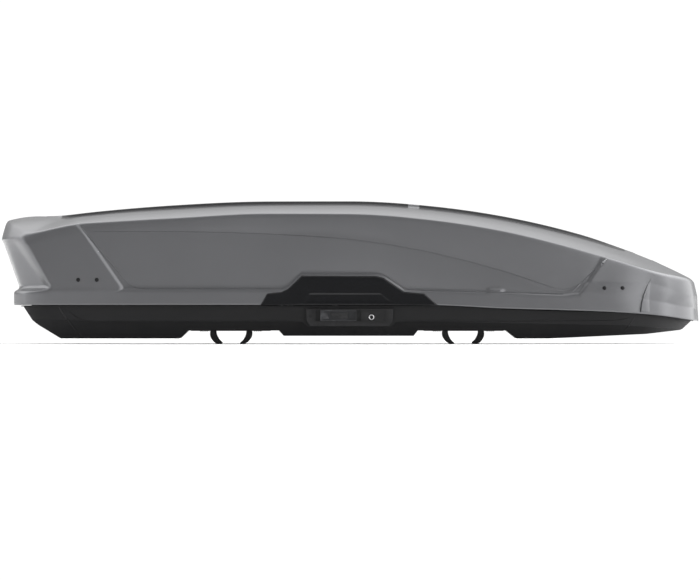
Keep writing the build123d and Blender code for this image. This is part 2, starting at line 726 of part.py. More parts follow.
# ---------------------------------------------------------------- roof bar clamps
CROSS_TOP = CLAW_PIVOT_Z - 0.5
CROSS_TALL = 8.5
HOUSE_LOW = RAIL_TOP + 0.1
HOUSE_TOP = 113.0
HOUSE_HALF = CLAW_PIVOT_X + 18


def make_claw(end):
    """One claw, end -1 behind the bar and +1 in front of it, hooked towards the bar."""
    px, pz = CLAW_PIVOT_X, CLAW_PIVOT_Z
    outer = Spline(at(-px - 11, pz - 3), at(-px - 16, pz - 25), at(-px - 18.5, pz - 44), at(-px - 9, pz - 65),
                   at(-px + 9, 0), tangents=[(-0.2, 0, -1), (1, 0, 0)])
    toe = [Line(at(-px + 9, 0), at(-px + 17, 0)), Line(at(-px + 17, 0), at(-px + 20, 4))]
    inner = Spline(at(-px + 20, 4), at(-px + 6, 18), at(-px - 0.5, 33), at(-px - 1, 50), at(-px + 9, pz - 6))
    close = Line(at(-px + 9, pz - 6), at(-px - 11, pz - 3))
    half = CLAW_WIDE / 2 - 0.5
    claw = across(outer, *toe, inner, close, half=half)
    claw += rod_y(-px, -half, half, pz, CLAW_EYE_R)
    claw += slab(-px, -px + LEVER_ARM + 1, -half, half, pz, pz + LEVER_THICK)
    claw -= rod_y(-px, -half - 1, half + 1, pz, CLAW_PIN_R + RUN_GAP)
    return claw if end < 0 else mirror(claw, about=Plane.YZ)


def make_carriage():
    """Steel cradle that slides on the rail, with the claws' two pins."""
    half_wide = CLAW_WIDE / 2
    base_half = RAIL_WIDE / 2 - 2
    plate = slab(-CRADLE_HALF, CRADLE_HALF, -base_half, base_half, HOUSE_LOW, HOUSE_LOW + CRADLE_THICK)
    for x0, x1 in ((-85, -24), (24, 85)):
        plate -= slab(x0, x1, -half_wide, half_wide, 0, CLAW_PIVOT_Z)
    reach = half_wide + CHEEK_GAP + CHEEK
    for side in (-1, 1):
        y0, y1 = sorted((side * (half_wide + CHEEK_GAP), side * reach))
        plate += slab(-HOUSE_HALF, HOUSE_HALF, y0, y1, HOUSE_LOW, HOUSE_TOP)
    plate += slab(-HOUSE_HALF, HOUSE_HALF, -reach, reach, HOUSE_TOP - CRADLE_TOP, HOUSE_TOP)
    plate -= rod_z(0, 0, 0, HOUSE_TOP + 1, SPINDLE_R + RUN_GAP)
    pins = []
    for x in (-CLAW_PIVOT_X, CLAW_PIVOT_X):
        plate -= rod_y(x, -reach - 1, reach + 1, CLAW_PIVOT_Z, CLAW_PIN_R + RUN_GAP)
        pins.append(rod_y(x, -reach - 2, reach + 2, CLAW_PIVOT_Z, CLAW_PIN_R))
    return Compound(children=[plate.solids()[0], *pins])


def make_knob():
    z0 = HOUSE_TOP + 0.5
    knob = rod_z(0, 0, z0, z0 + KNOB_TALL, KNOB_R)
    reach = KNOB_R + FLUTE_OUT
    for step in range(KNOB_FLUTES):
        turn = 2 * math.pi * step / KNOB_FLUTES
        x, y = reach * math.cos(turn), reach * math.sin(turn)
        knob -= rod_z(x, y, z0 + 4, z0 + KNOB_TALL + 1, FLUTE_R)
    knob -= rod_z(0, 0, z0 - 1, z0 + KNOB_TALL - KNOB_CAP, SPINDLE_R + RUN_GAP)
    return knob.solids()[0]


def make_spindle():
    """Clamp screw, with the collar that bears under the cradle's top plate."""
    low = HOUSE_LOW + 5
    high = HOUSE_TOP + KNOB_TALL - KNOB_CAP
    collar_top = HOUSE_TOP - CRADLE_TOP - COLLAR_GAP
    collar = rod_z(0, 0, collar_top - COLLAR_TALL, collar_top, COLLAR_R)
    return rod_z(0, 0, low, high, SPINDLE_R) + collar


def make_crosshead():
    """Nut block that the screw lifts; it lifts both claws' levers."""
    half = CLAW_WIDE / 2 - 1
    reach = CLAW_PIVOT_X - LEVER_ARM + 1
    block = slab(-reach, reach, -half, half, CROSS_TOP - CROSS_TALL, CROSS_TOP)
    return (block - rod_z(0, 0, 0, 200, SPINDLE_R + RUN_GAP)).solids()[0]


# ---------------------------------------------------------------- lid struts
def strut_ends(x):
    """Heights of a strut's lower and upper pivot."""
    return FLOOR_BULGE + STRUT_FOOT_RISE, roof_under(x) - HOOP_THICK - HOOP_RIB - STRUT_HEAD_DROP


def strut_motion(x):
    """(tilt in degrees, extension) of a strut when the lid is fully open on one side."""
    foot, head = strut_ends(x)
    turn = math.radians(OPEN_DEG)
    dy, dz = -AXIS_Y, head - AXIS_Z
    y = AXIS_Y + dy * math.cos(turn) + dz * math.sin(turn)
    z = AXIS_Z - dy * math.sin(turn) + dz * math.cos(turn)
    return math.degrees(math.atan2(y, z - foot)), math.hypot(y, z - foot) - (head - foot)


def make_strut(x):
    """Foot pin, tube, sleeve and rod of one telescopic strut."""
    foot, head = strut_ends(x)
    eye, head_eye = STRUT_EYE_HALF, HEAD_EYE_HALF
    pin = rod_x(x - STRUT_PIN_HALF, x + STRUT_PIN_HALF, 0, foot, FOOT_PIN_R)
    sleeve_r = TUBE_R - TUBE_WALL - SLIDE_GAP
    rod_r = sleeve_r - SLEEVE_WALL - SLIDE_GAP
    tube = rod_z(x, 0, foot + 13, head - 27, TUBE_R) - rod_z(x, 0, foot + 16, head, TUBE_R - TUBE_WALL)
    tube += rod_x(x - eye, x + eye, 0, foot, STRUT_EYE_R) + slab(x - eye, x + eye, -eye, eye, foot, foot + 15)
    tube -= rod_x(x - eye - 1, x + eye + 1, 0, foot, FOOT_PIN_R)
    sleeve = rod_z(x, 0, foot + 16.5, head - 22, sleeve_r)
    sleeve -= rod_z(x, 0, foot + 19, head, sleeve_r - SLEEVE_WALL)
    rod = rod_z(x, 0, foot + 19.5, head - 16, rod_r) + rod_x(x - head_eye, x + head_eye, 0, head, HEAD_EYE_R)
    rod += slab(x - head_eye, x + head_eye, -5, 5, head - 17, head - 5)
    rod -= rod_x(x - head_eye - 1, x + head_eye + 1, 0, head, HEAD_BORE_R)
    return {"pin": pin, "tube": tube.solids()[0], "sleeve": sleeve.solids()[0], "rod": rod.solids()[0]}


def saddle_mouth(x, foot):
    """The widening slot over a foot pin, which lets the pin swing out with the lid."""
    grip = FOOT_PIN_R + RUN_GAP
    tall = 3 * FOOT_PIN_R
    lean = SADDLE_LEAN * tall
    corners = [(-grip, foot), (-grip - lean, foot + tall), (grip + lean, foot + tall), (grip, foot)]
    face = Face(Wire.make_polygon([Vector(x - 40, y, z) for y, z in corners]))
    return extrude(face, amount=80, dir=(1, 0, 0))


def make_foot_brackets():
    """Open-topped saddles on the tray's floor that the struts' foot pins turn in and lift out of."""
    brackets = []
    for x in STRUT_XS:
        foot, _ = strut_ends(x)
        long, wide, tall = SADDLE_PLATE
        bracket = slab(x - long / 2, x + long / 2, -wide / 2, wide / 2, FLOOR_BULGE, FLOOR_BULGE + tall)
        toe_z = FLOOR_BULGE + 1.5 * TOE_R
        toes = [(-SADDLE_TOE, toe_z, TOE_R), (SADDLE_TOE, toe_z, TOE_R)]
        ear_in, ear_out = SADDLE_EARS
        for x0, x1 in ((x - ear_out, x - ear_in), (x + ear_in, x + ear_out)):
            bracket += hull_yz([(0, foot, SADDLE_R), *toes], x0, x1)
        bracket -= rod_x(x - 40, x + 40, 0, foot, FOOT_PIN_R + RUN_GAP)
        bracket -= saddle_mouth(x, foot)
        brackets.append(bracket.solids()[0])
    return Compound(children=brackets)


def make_head_brackets():
    """Forks under the hoops that hold the struts' heads; the pivot itself is left open."""
    brackets = []
    for x in STRUT_XS:
        _, head = strut_ends(x)
        top = head + STRUT_HEAD_DROP
        long, wide, tall = FORK_PLATE
        bracket = slab(x - long / 2, x + long / 2, -wide / 2, wide / 2, top + TOE_R - tall, top + TOE_R)
        toes = [(-FORK_TOE, top - TOE_R, TOE_R), (FORK_TOE, top - TOE_R, TOE_R)]
        for x0 in (x - FORK_GAP - FORK_EAR, x + FORK_GAP):
            bracket += hull_yz([(0, head, HEAD_EYE_R), *toes], x0, x0 + FORK_EAR)
        for end in (-1, 1):
            x0, x1 = sorted((x + end * (FORK_GAP + FORK_EAR - 1), x + end * (FORK_GAP + 2 * FORK_EAR)))
            bracket += rod_x(x0, x1, 0, head, FORK_STUD_R)
        bracket -= hoop(x)
        brackets.append(bracket.solids()[0])
    return Compound(children=brackets)


def make_badge(outer):
    """Plain blank plaque on the nose, half sunk into the skin."""
    x = nose(BADGE_BACK)
    z = (outer & rod_z(x, 0, PART_Z, CROWN_Z + 50, 0.5)).bounding_box().max.Z
    plaque = Pos(x, 0, z) * Rot(0, BADGE_SLOPE, 0) * Box(*BADGE_SIZE)
    return (plaque - outer).solids()[0]


# ---------------------------------------------------------------- the whole box
SIDES = {"right": -1, "left": 1}
ENDS = {"rear": 0, "front": 1}


def make_all():
    """Every node of the box by name."""
    lid, lid_outer = make_lid()
    nodes = {
        "base_tray": make_tray(),
        "clamp_rails": make_rails(),
        "bar_pads": make_pads(),
        "strut_foot_brackets": make_foot_brackets(),
        "lid_shell": lid,
        "lid_rivets": make_rivets(lid_outer),
        "nose_badge": make_badge(lid_outer),
        "strut_head_brackets": make_head_brackets(),
    }
    for name, x in zip(("rear", "middle", "front"), HOOP_XS):
        nodes[f"lid_hoop_{name}"] = hoop(x)
    for name, side in SIDES.items():
        nodes[f"hinge_brackets_{name}"] = make_brackets(side)
        nodes[f"hinge_pins_{name}"] = make_pins(side)
        nodes[f"lid_catches_{name}"] = make_catches(side)
        nodes[f"lid_grip_{name}"] = make_grip(side)
        nodes[f"lock_housing_{name}"] = make_lock_housing(side)
        nodes[f"lock_slider_{name}"] = make_slider(side)
        nodes[f"lock_bar_{name}"] = make_lock_bar(side)
        nodes[f"key_cylinder_{name}"] = make_key_cylinder(side)
    for name, end in ENDS.items():
        for piece, solid in make_strut(STRUT_XS[end]).items():
            nodes[f"strut_{piece}_{name}"] = solid
    pieces = {
        "carriage": make_carriage(),
        "knob": make_knob(),
        "spindle": make_spindle(),
        "crosshead": make_crosshead(),
        "claw_rear": make_claw(-1),
        "claw_front": make_claw(1),
    }
    for end_name, end in ENDS.items():
        for side_name, side in SIDES.items():
            place = Pos(BAR_XS[end], side * CLAMP_Y, 0)
            for piece, shape in pieces.items():
                nodes[f"clamp_{end_name}_{side_name}_{piece}"] = place * shape
    return nodes


def main():
    os.makedirs("parts", exist_ok=True)
    for name, shape in make_all().items():
        export_step(shape, f"parts/{name}.step")


if __name__ == "__main__":
    main()
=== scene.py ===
import json
import math
import bmesh
import bpy
import numpy as np
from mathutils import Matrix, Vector
from mathutils.bvhtree import BVHTree


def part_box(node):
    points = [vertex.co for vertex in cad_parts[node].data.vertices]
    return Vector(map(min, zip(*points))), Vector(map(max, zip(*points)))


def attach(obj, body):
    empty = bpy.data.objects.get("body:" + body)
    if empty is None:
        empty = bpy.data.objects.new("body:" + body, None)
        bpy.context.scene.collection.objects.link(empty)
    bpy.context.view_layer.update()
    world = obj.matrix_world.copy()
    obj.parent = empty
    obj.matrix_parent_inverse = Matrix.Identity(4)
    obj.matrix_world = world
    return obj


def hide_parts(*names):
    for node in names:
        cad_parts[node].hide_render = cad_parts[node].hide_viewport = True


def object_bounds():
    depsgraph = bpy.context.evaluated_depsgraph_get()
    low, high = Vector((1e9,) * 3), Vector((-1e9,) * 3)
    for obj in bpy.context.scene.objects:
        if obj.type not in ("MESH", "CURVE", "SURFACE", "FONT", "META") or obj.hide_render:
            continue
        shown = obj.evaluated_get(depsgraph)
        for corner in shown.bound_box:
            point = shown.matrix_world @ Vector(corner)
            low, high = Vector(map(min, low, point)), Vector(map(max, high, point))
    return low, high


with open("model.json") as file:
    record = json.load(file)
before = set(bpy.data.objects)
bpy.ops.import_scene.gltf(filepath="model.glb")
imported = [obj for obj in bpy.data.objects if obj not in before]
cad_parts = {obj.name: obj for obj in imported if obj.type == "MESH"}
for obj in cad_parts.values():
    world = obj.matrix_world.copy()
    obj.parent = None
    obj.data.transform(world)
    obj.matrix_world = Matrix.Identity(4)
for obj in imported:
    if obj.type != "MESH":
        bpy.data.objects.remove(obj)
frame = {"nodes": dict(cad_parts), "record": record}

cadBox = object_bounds()
mm = 0.001
nodes = frame["nodes"]
print("frame loaded:", len(nodes), "nodes")


def smoothLine(points, counts):
    # a curve through every point, with counts[i] steps from point i to the next
    points = np.asarray(points, float)
    gaps = np.maximum(np.linalg.norm(np.diff(points, axis=0), axis=1), 1e-4)
    knots = np.concatenate([[0], np.cumsum(gaps)])
    slopes = np.diff(points, axis=0) / gaps[:, None]
    tangents = np.zeros_like(points)
    tangents[0], tangents[-1] = slopes[0], slopes[-1]
    for i in range(1, len(points) - 1):
        before, after = gaps[i - 1], gaps[i]
        tangents[i] = (slopes[i - 1] * after + slopes[i] * before) / (before + after)
        flips = slopes[i - 1] * slopes[i] <= 0
        tangents[i][flips] = 0
        limit = 3 * np.minimum(abs(slopes[i - 1]), abs(slopes[i]))
        tangents[i] = np.clip(tangents[i], -limit, limit)
    out = []
    for i, count in enumerate(counts):
        t = np.linspace(0, 1, count, endpoint=False)[:, None]
        h = gaps[i]
        out.append(points[i] * (2 * t**3 - 3 * t**2 + 1) + tangents[i] * h * (t**3 - 2 * t**2 + t)
                   + points[i + 1] * (3 * t**2 - 2 * t**3) + tangents[i + 1] * h * (t**3 - t**2))
    out.append(points[-1:])
    return np.vstack(out)


def mirrorY(points):
    return points * np.array([1, -1, 1])


def makeMesh(name, verts, faces, smooth=True):
    mesh = bpy.data.meshes.new(name)
    mesh.from_pydata([tuple(v) for v in verts], [], [tuple(f) for f in faces])
    mesh.validate()
    mesh.update()
    mesh.polygons.foreach_set("use_smooth", [smooth] * len(mesh.polygons))
    piece = bpy.data.objects.new(name, mesh)
    bpy.context.scene.collection.objects.link(piece)
    return piece


def gridFaces(rows, columns, start=0, flip=False, closed=False):
    faces = []
    last = columns if closed else columns - 1
    for r in range(rows - 1):
        for c in range(last):
            a = start + r * columns + c
            b = start + r * columns + (c + 1) % columns
            quad = (a, b, b + columns, a + columns)
            faces.append(quad[::-1] if flip else quad)
    return faces


def newGroup(name, inputs, outputs):
    tree = bpy.data.node_groups.new(name, "ShaderNodeTree")
    for label, kind, value in inputs:
        socket = tree.interface.new_socket(label, in_out="INPUT", socket_type=kind)
        socket.default_value = value
    for label, kind in outputs:
        tree.interface.new_socket(label, in_out="OUTPUT", socket_type=kind)
    source = tree.nodes.new("NodeGroupInput")
    sink = tree.nodes.new("NodeGroupOutput")
    return tree, source, sink


def addNode(tree, kind, **settings):
    node = tree.nodes.new(kind)
    for key, value in settings.items():
        setattr(node, key, value)
    return node


def noise(tree, vector, scale, detail=3.0, roughness=0.5):
    node = addNode(tree, "ShaderNodeTexNoise")
    node.inputs["Detail"].default_value = detail
    node.inputs["Roughness"].default_value = roughness
    tree.links.new(vector, node.inputs["Vector"])
    if isinstance(scale, (int, float)):
        node.inputs["Scale"].default_value = scale
    else:
        tree.links.new(scale, node.inputs["Scale"])
    return node.outputs["Fac"]


def maths(tree, operation, first, second=None):
    node = addNode(tree, "ShaderNodeMath", operation=operation)
    for socket, value in zip(node.inputs, (first, second)):
        if value is None:
            continue
        if isinstance(value, (int, float)):
            socket.default_value = value
        else:
            tree.links.new(value, socket)
    return node.outputs[0]


def remap(tree, value, fromLow, fromHigh, toLow, toHigh):
    node = addNode(tree, "ShaderNodeMapRange")
    tree.links.new(value, node.inputs["Value"])
    for label, number in (("From Min", fromLow), ("From Max", fromHigh), ("To Min", toLow),
                          ("To Max", toHigh)):
        if isinstance(number, (int, float)):
            node.inputs[label].default_value = number
        else:
            tree.links.new(number, node.inputs[label])
    return node.outputs["Result"]


# pebbled grain of a moulded plastic surface
def makeMouldGrain():
    tree, source, sink = newGroup("mouldGrain",
                                  [("Vector", "NodeSocketVector", (0, 0, 0)),
                                   ("Scale", "NodeSocketFloat", 700.0)],
                                  [("Height", "NodeSocketFloat"), ("Speckle", "NodeSocketFloat")])
    cells = addNode(tree, "ShaderNodeTexVoronoi", feature="SMOOTH_F1")
    cells.inputs["Smoothness"].default_value = 0.6
    tree.links.new(source.outputs["Vector"], cells.inputs["Vector"])
    tree.links.new(source.outputs["Scale"], cells.inputs["Scale"])
    fine = noise(tree, source.outputs["Vector"], maths(tree, "MULTIPLY", source.outputs["Scale"], 2.3), 2.0)
    mixed = maths(tree, "ADD", cells.outputs["Distance"], maths(tree, "MULTIPLY", fine, 0.35))
    tree.links.new(mixed, sink.inputs["Height"])
    tree.links.new(fine, sink.inputs["Speckle"])
    return tree


# slow drift of a colour over a large part, as a mask from 0 to 1
def makeToneDrift():
    tree, source, sink = newGroup("toneDrift",
                                  [("Vector", "NodeSocketVector", (0, 0, 0)),
                                   ("Scale", "NodeSocketFloat", 3.0)],
                                  [("Mask", "NodeSocketFloat")])
    wide = noise(tree, source.outputs["Vector"], source.outputs["Scale"], 4.0, 0.55)
    tree.links.new(remap(tree, wide, 0.3, 0.7, 0.0, 1.0), sink.inputs["Mask"])
    return tree


# fine lines left by brushing or drawing, stretched along one axis
def makeBrushLines():
    tree, source, sink = newGroup("brushLines",
                                  [("Vector", "NodeSocketVector", (0, 0, 0)),
                                   ("Stretch", "NodeSocketVector", (30, 900, 900))],
                                  [("Height", "NodeSocketFloat"), ("Mask", "NodeSocketFloat")])
    scaled = addNode(tree, "ShaderNodeVectorMath", operation="MULTIPLY")
    tree.links.new(source.outputs["Vector"], scaled.inputs[0])
    tree.links.new(source.outputs["Stretch"], scaled.inputs[1])
    lines = noise(tree, scaled.outputs[0], 1.0, 3.0, 0.65)
    patch = noise(tree, source.outputs["Vector"], 14.0, 2.0)
    tree.links.new(lines, sink.inputs["Height"])
    tree.links.new(remap(tree, patch, 0.35, 0.65, 0.0, 1.0), sink.inputs["Mask"])
    return tree


# rubbed edges: 1 where the surface turns outwards sharply
def makeEdgeRub():
    tree, source, sink = newGroup("edgeRub",
                                  [("Vector", "NodeSocketVector", (0, 0, 0)),
                                   ("Start", "NodeSocketFloat", 0.53),
                                   ("Full", "NodeSocketFloat", 0.62)],
                                  [("Mask", "NodeSocketFloat")])
    geometry = addNode(tree, "ShaderNodeNewGeometry")
    turn = remap(tree, geometry.outputs["Pointiness"], source.outputs["Start"], source.outputs["Full"], 0.0,
                 1.0)
    broken = noise(tree, source.outputs["Vector"], 60.0, 4.0, 0.7)
    tree.links.new(maths(tree, "MULTIPLY", turn, remap(tree, broken, 0.35, 0.6, 0.2, 1.0)),
                   sink.inputs["Mask"])
    return tree


groups = {"grain": makeMouldGrain(), "drift": makeToneDrift(), "brush": makeBrushLines(),
          "rub": makeEdgeRub()}


def placeGroup(tree, key, vector, **inputs):
    node = addNode(tree, "ShaderNodeGroup")
    node.node_tree = groups[key]
    tree.links.new(vector, node.inputs["Vector"])
    for label, value in inputs.items():
        node.inputs[label].default_value = value
    return node


def mixColour(tree, mask, first, second):
    node = addNode(tree, "ShaderNodeMix", data_type="RGBA")
    tree.links.new(mask, node.inputs["Factor"])
    for socket, value in ((node.inputs[6], first), (node.inputs[7], second)):
        if isinstance(value, tuple):
            socket.default_value = (*value, 1.0)
        else:
            tree.links.new(value, socket)
    return node.outputs[2]


def startMaterial(name):
    material = bpy.data.materials.new(name)
    material.use_nodes = True
    tree = material.node_tree
    shader = tree.nodes["Principled BSDF"]
    place = addNode(tree, "ShaderNodeTexCoord").outputs["Object"]
    return material, tree, shader, place


def bumpFrom(tree, shader, height, strength, distance, socket="Normal"):
    bump = addNode(tree, "ShaderNodeBump")
    bump.inputs["Strength"].default_value = strength
    bump.inputs["Distance"].default_value = distance
    tree.links.new(height, bump.inputs["Height"])
    tree.links.new(bump.outputs["Normal"], shader.inputs[socket])


def paintFinish(name, spec):
    # metallic paint: flakes under a clear coat, with a faint drift of tone
    material, tree, shader, place = startMaterial(name)
    drift = placeGroup(tree, "drift", place, Scale=spec["driftScale"])
    flakes = addNode(tree, "ShaderNodeTexVoronoi")
    flakes.inputs["Scale"].default_value = spec["flakeScale"]
    tree.links.new(place, flakes.inputs["Vector"])
    sparkle = remap(tree, flakes.outputs["Distance"], 0.0, 0.6, 1.0, 0.0)
    colour = mixColour(tree, drift.outputs["Mask"], spec["colour"], spec["driftColour"])
    colour = mixColour(tree, maths(tree, "MULTIPLY", sparkle, spec["flakeMix"]), colour, spec["flakeColour"])
    tree.links.new(colour, shader.inputs["Base Color"])
    rough = remap(tree, drift.outputs["Mask"], 0.0, 1.0, spec["rough"] - 0.02, spec["rough"] + 0.02)
    tree.links.new(rough, shader.inputs["Roughness"])
    shader.inputs["Metallic"].default_value = spec["metal"]
    shader.inputs["Coat Weight"].default_value = spec["coat"]
    shader.inputs["Coat Roughness"].default_value = spec["coatRough"]
    peel = noise(tree, place, spec["peelScale"], 2.0)
    bumpFrom(tree, shader, peel, spec["peel"], 0.0004)
    return material


def plasticFinish(name, spec):
    material, tree, shader, place = startMaterial(name)
    grain = placeGroup(tree, "grain", place, Scale=spec["grainScale"])
    drift = placeGroup(tree, "drift", place, Scale=spec.get("driftScale", 5.0))
    rub = placeGroup(tree, "rub", place)
    colour = mixColour(tree, drift.outputs["Mask"], spec["colour"], spec["driftColour"])
    colour = mixColour(tree, maths(tree, "MULTIPLY", rub.outputs["Mask"], spec["rub"]), colour,
                       spec["rubColour"])
    tree.links.new(colour, shader.inputs["Base Color"])
    rough = remap(tree, grain.outputs["Speckle"], 0.3, 0.7, spec["rough"] - 0.05, spec["rough"] + 0.05)
    tree.links.new(rough, shader.inputs["Roughness"])
    shader.inputs["Specular IOR Level"].default_value = spec.get("shine", 0.25)
    shader.inputs["Coat Weight"].default_value = spec.get("coat", 0.0)
    shader.inputs["Coat Roughness"].default_value = spec.get("coatRough", 0.03)
    bumpFrom(tree, shader, grain.outputs["Height"], spec["grain"], spec.get("grainDeep", 0.0003))
    return material


def metalFinish(name, spec):
    material, tree, shader, place = startMaterial(name)
    brush = placeGroup(tree, "brush", place, Stretch=spec["stretch"])
    rub = placeGroup(tree, "rub", place)
    colour = mixColour(tree, brush.outputs["Mask"], spec["colour"], spec["driftColour"])
    colour = mixColour(tree, maths(tree, "MULTIPLY", rub.outputs["Mask"], 0.5), colour, spec["rubColour"])
    tree.links.new(colour, shader.inputs["Base Color"])
    rough = remap(tree, brush.outputs["Height"], 0.3, 0.7, spec["rough"] - 0.08, spec["rough"] + 0.08)
    tree.links.new(rough, shader.inputs["Roughness"])
    shader.inputs["Metallic"].default_value = spec["metal"]
    bumpFrom(tree, shader, brush.outputs["Height"], spec["lines"], 0.0002)
    return material


def fillTable(keys, rows):
    # a row gives the keys' values in order; a dictionary at its end holds what only that finish has
    return {name: dict(zip(keys, row), **(row[-1] if isinstance(row[-1], dict) else {}))
            for name, row in rows.items()}


paints = {
    "titan_paint": {"colour": (0.155, 0.157, 0.165), "driftColour": (0.165, 0.167, 0.175),
                    "flakeColour": (0.42, 0.42, 0.44),
                    "flakeScale": 2600.0, "flakeMix": 0.16, "driftScale": 2.2, "rough": 0.36, "metal": 0.55,
                    "coat": 0.45, "coatRough": 0.12, "peelScale": 420.0, "peel": 0.05},
    "badge_plastic": {"colour": (0.16, 0.162, 0.17), "driftColour": (0.17, 0.172, 0.18),
                      "flakeColour": (0.42, 0.42, 0.44),
                      "flakeScale": 2600.0, "flakeMix": 0.1, "driftScale": 6.0, "rough": 0.3, "metal": 0.6,
                      "coat": 0.5, "coatRough": 0.08, "peelScale": 500.0, "peel": 0.04},
}
plastics = fillTable(("colour", "driftColour", "rubColour", "rub", "rough", "grainScale", "grain"), {
    "tray_plastic": ((0.0125, 0.0125, 0.0135), (0.0165, 0.0165, 0.0175), (0.05, 0.05, 0.052), 0.5, 0.5,
                     620.0, 0.45),
    "grip_gloss": ((0.0045, 0.0048, 0.006), (0.0055, 0.0058, 0.007), (0.02, 0.02, 0.024), 0.3, 0.16, 300.0,
                   0.015, {"coat": 0.2, "shine": 0.3}),
    "housing_plastic": ((0.017, 0.017, 0.018), (0.021, 0.021, 0.022), (0.05, 0.05, 0.052), 0.5, 0.38, 900.0,
                        0.25),
    "slider_plastic": ((0.03, 0.031, 0.034), (0.036, 0.037, 0.04), (0.16, 0.16, 0.17), 0.5, 0.33, 1100.0,
                       0.18),
    "rubber": ((0.012, 0.012, 0.012), (0.02, 0.02, 0.019), (0.04, 0.04, 0.04), 0.3, 0.78, 500.0, 0.5),
    "claw_plastic": ((0.03, 0.03, 0.032), (0.038, 0.038, 0.04), (0.09, 0.09, 0.092), 0.6, 0.45, 900.0, 0.35),
    "knob_plastic": ((0.015, 0.015, 0.016), (0.02, 0.02, 0.021), (0.06, 0.06, 0.062), 0.6, 0.42, 800.0, 0.4),
    "roof_step_painted_shade": ((0.03, 0.03, 0.032), (0.036, 0.036, 0.038), (0.08, 0.08, 0.082), 0.3, 0.42, 900.0, 0.2),
    "rivet_black": ((0.01, 0.01, 0.011), (0.014, 0.014, 0.015), (0.1, 0.1, 0.1), 0.4, 0.3, 900.0, 0.1),
    "strut_black": ((0.012, 0.012, 0.013), (0.016, 0.016, 0.017), (0.08, 0.08, 0.082), 0.5, 0.34, 1500.0,
                    0.2),
})
metals = fillTable(("colour", "driftColour", "rubColour", "stretch", "rough", "metal", "lines"), {
    "zinc_steel": ((0.55, 0.56, 0.57), (0.48, 0.49, 0.52), (0.75, 0.75, 0.76), (60, 700, 700), 0.34, 1.0,
                   0.12),
    "pin_steel": ((0.6, 0.6, 0.61), (0.52, 0.52, 0.54), (0.8, 0.8, 0.8), (900, 200, 900), 0.26, 1.0, 0.1),
    "hoop_aluminium": ((0.68, 0.69, 0.7), (0.6, 0.61, 0.63), (0.85, 0.85, 0.86), (900, 25, 600), 0.38, 1.0,
                       0.18),
    "key_chrome": ((0.72, 0.72, 0.73), (0.66, 0.66, 0.68), (0.85, 0.85, 0.85), (500, 500, 500), 0.16, 1.0,
                   0.04),
    "rod_steel": ((0.7, 0.7, 0.72), (0.62, 0.62, 0.65), (0.8, 0.8, 0.8), (700, 700, 40), 0.14, 1.0, 0.05),
})
finishes = {name: paintFinish(name, spec) for name, spec in paints.items()}
finishes.update({name: plasticFinish(name, spec) for name, spec in plastics.items()})
finishes.update({name: metalFinish(name, spec) for name, spec in metals.items()})


def coat(piece, finish):
    piece.data.materials.clear()
    piece.data.materials.append(finishes[finish])


def smoothCad(piece, angle):
    # shades the curved faces of a CAD node smoothly and keeps its corners crisp
    with bpy.context.temp_override(object=piece, active_object=piece, selected_objects=[piece],
                                   selected_editable_objects=[piece]):
        bpy.ops.object.shade_smooth_by_angle(angle=math.radians(angle))


slotOf = {part["node"]: part["material_slot"] for part in frame["record"]["subparts"]}
darkNodes = {"hinge_brackets_right": "strut_black", "hinge_brackets_left": "strut_black"}
for nodeName, piece in nodes.items():
    coat(piece, darkNodes.get(nodeName, slotOf[nodeName]))
print("finishes made:", len(finishes))


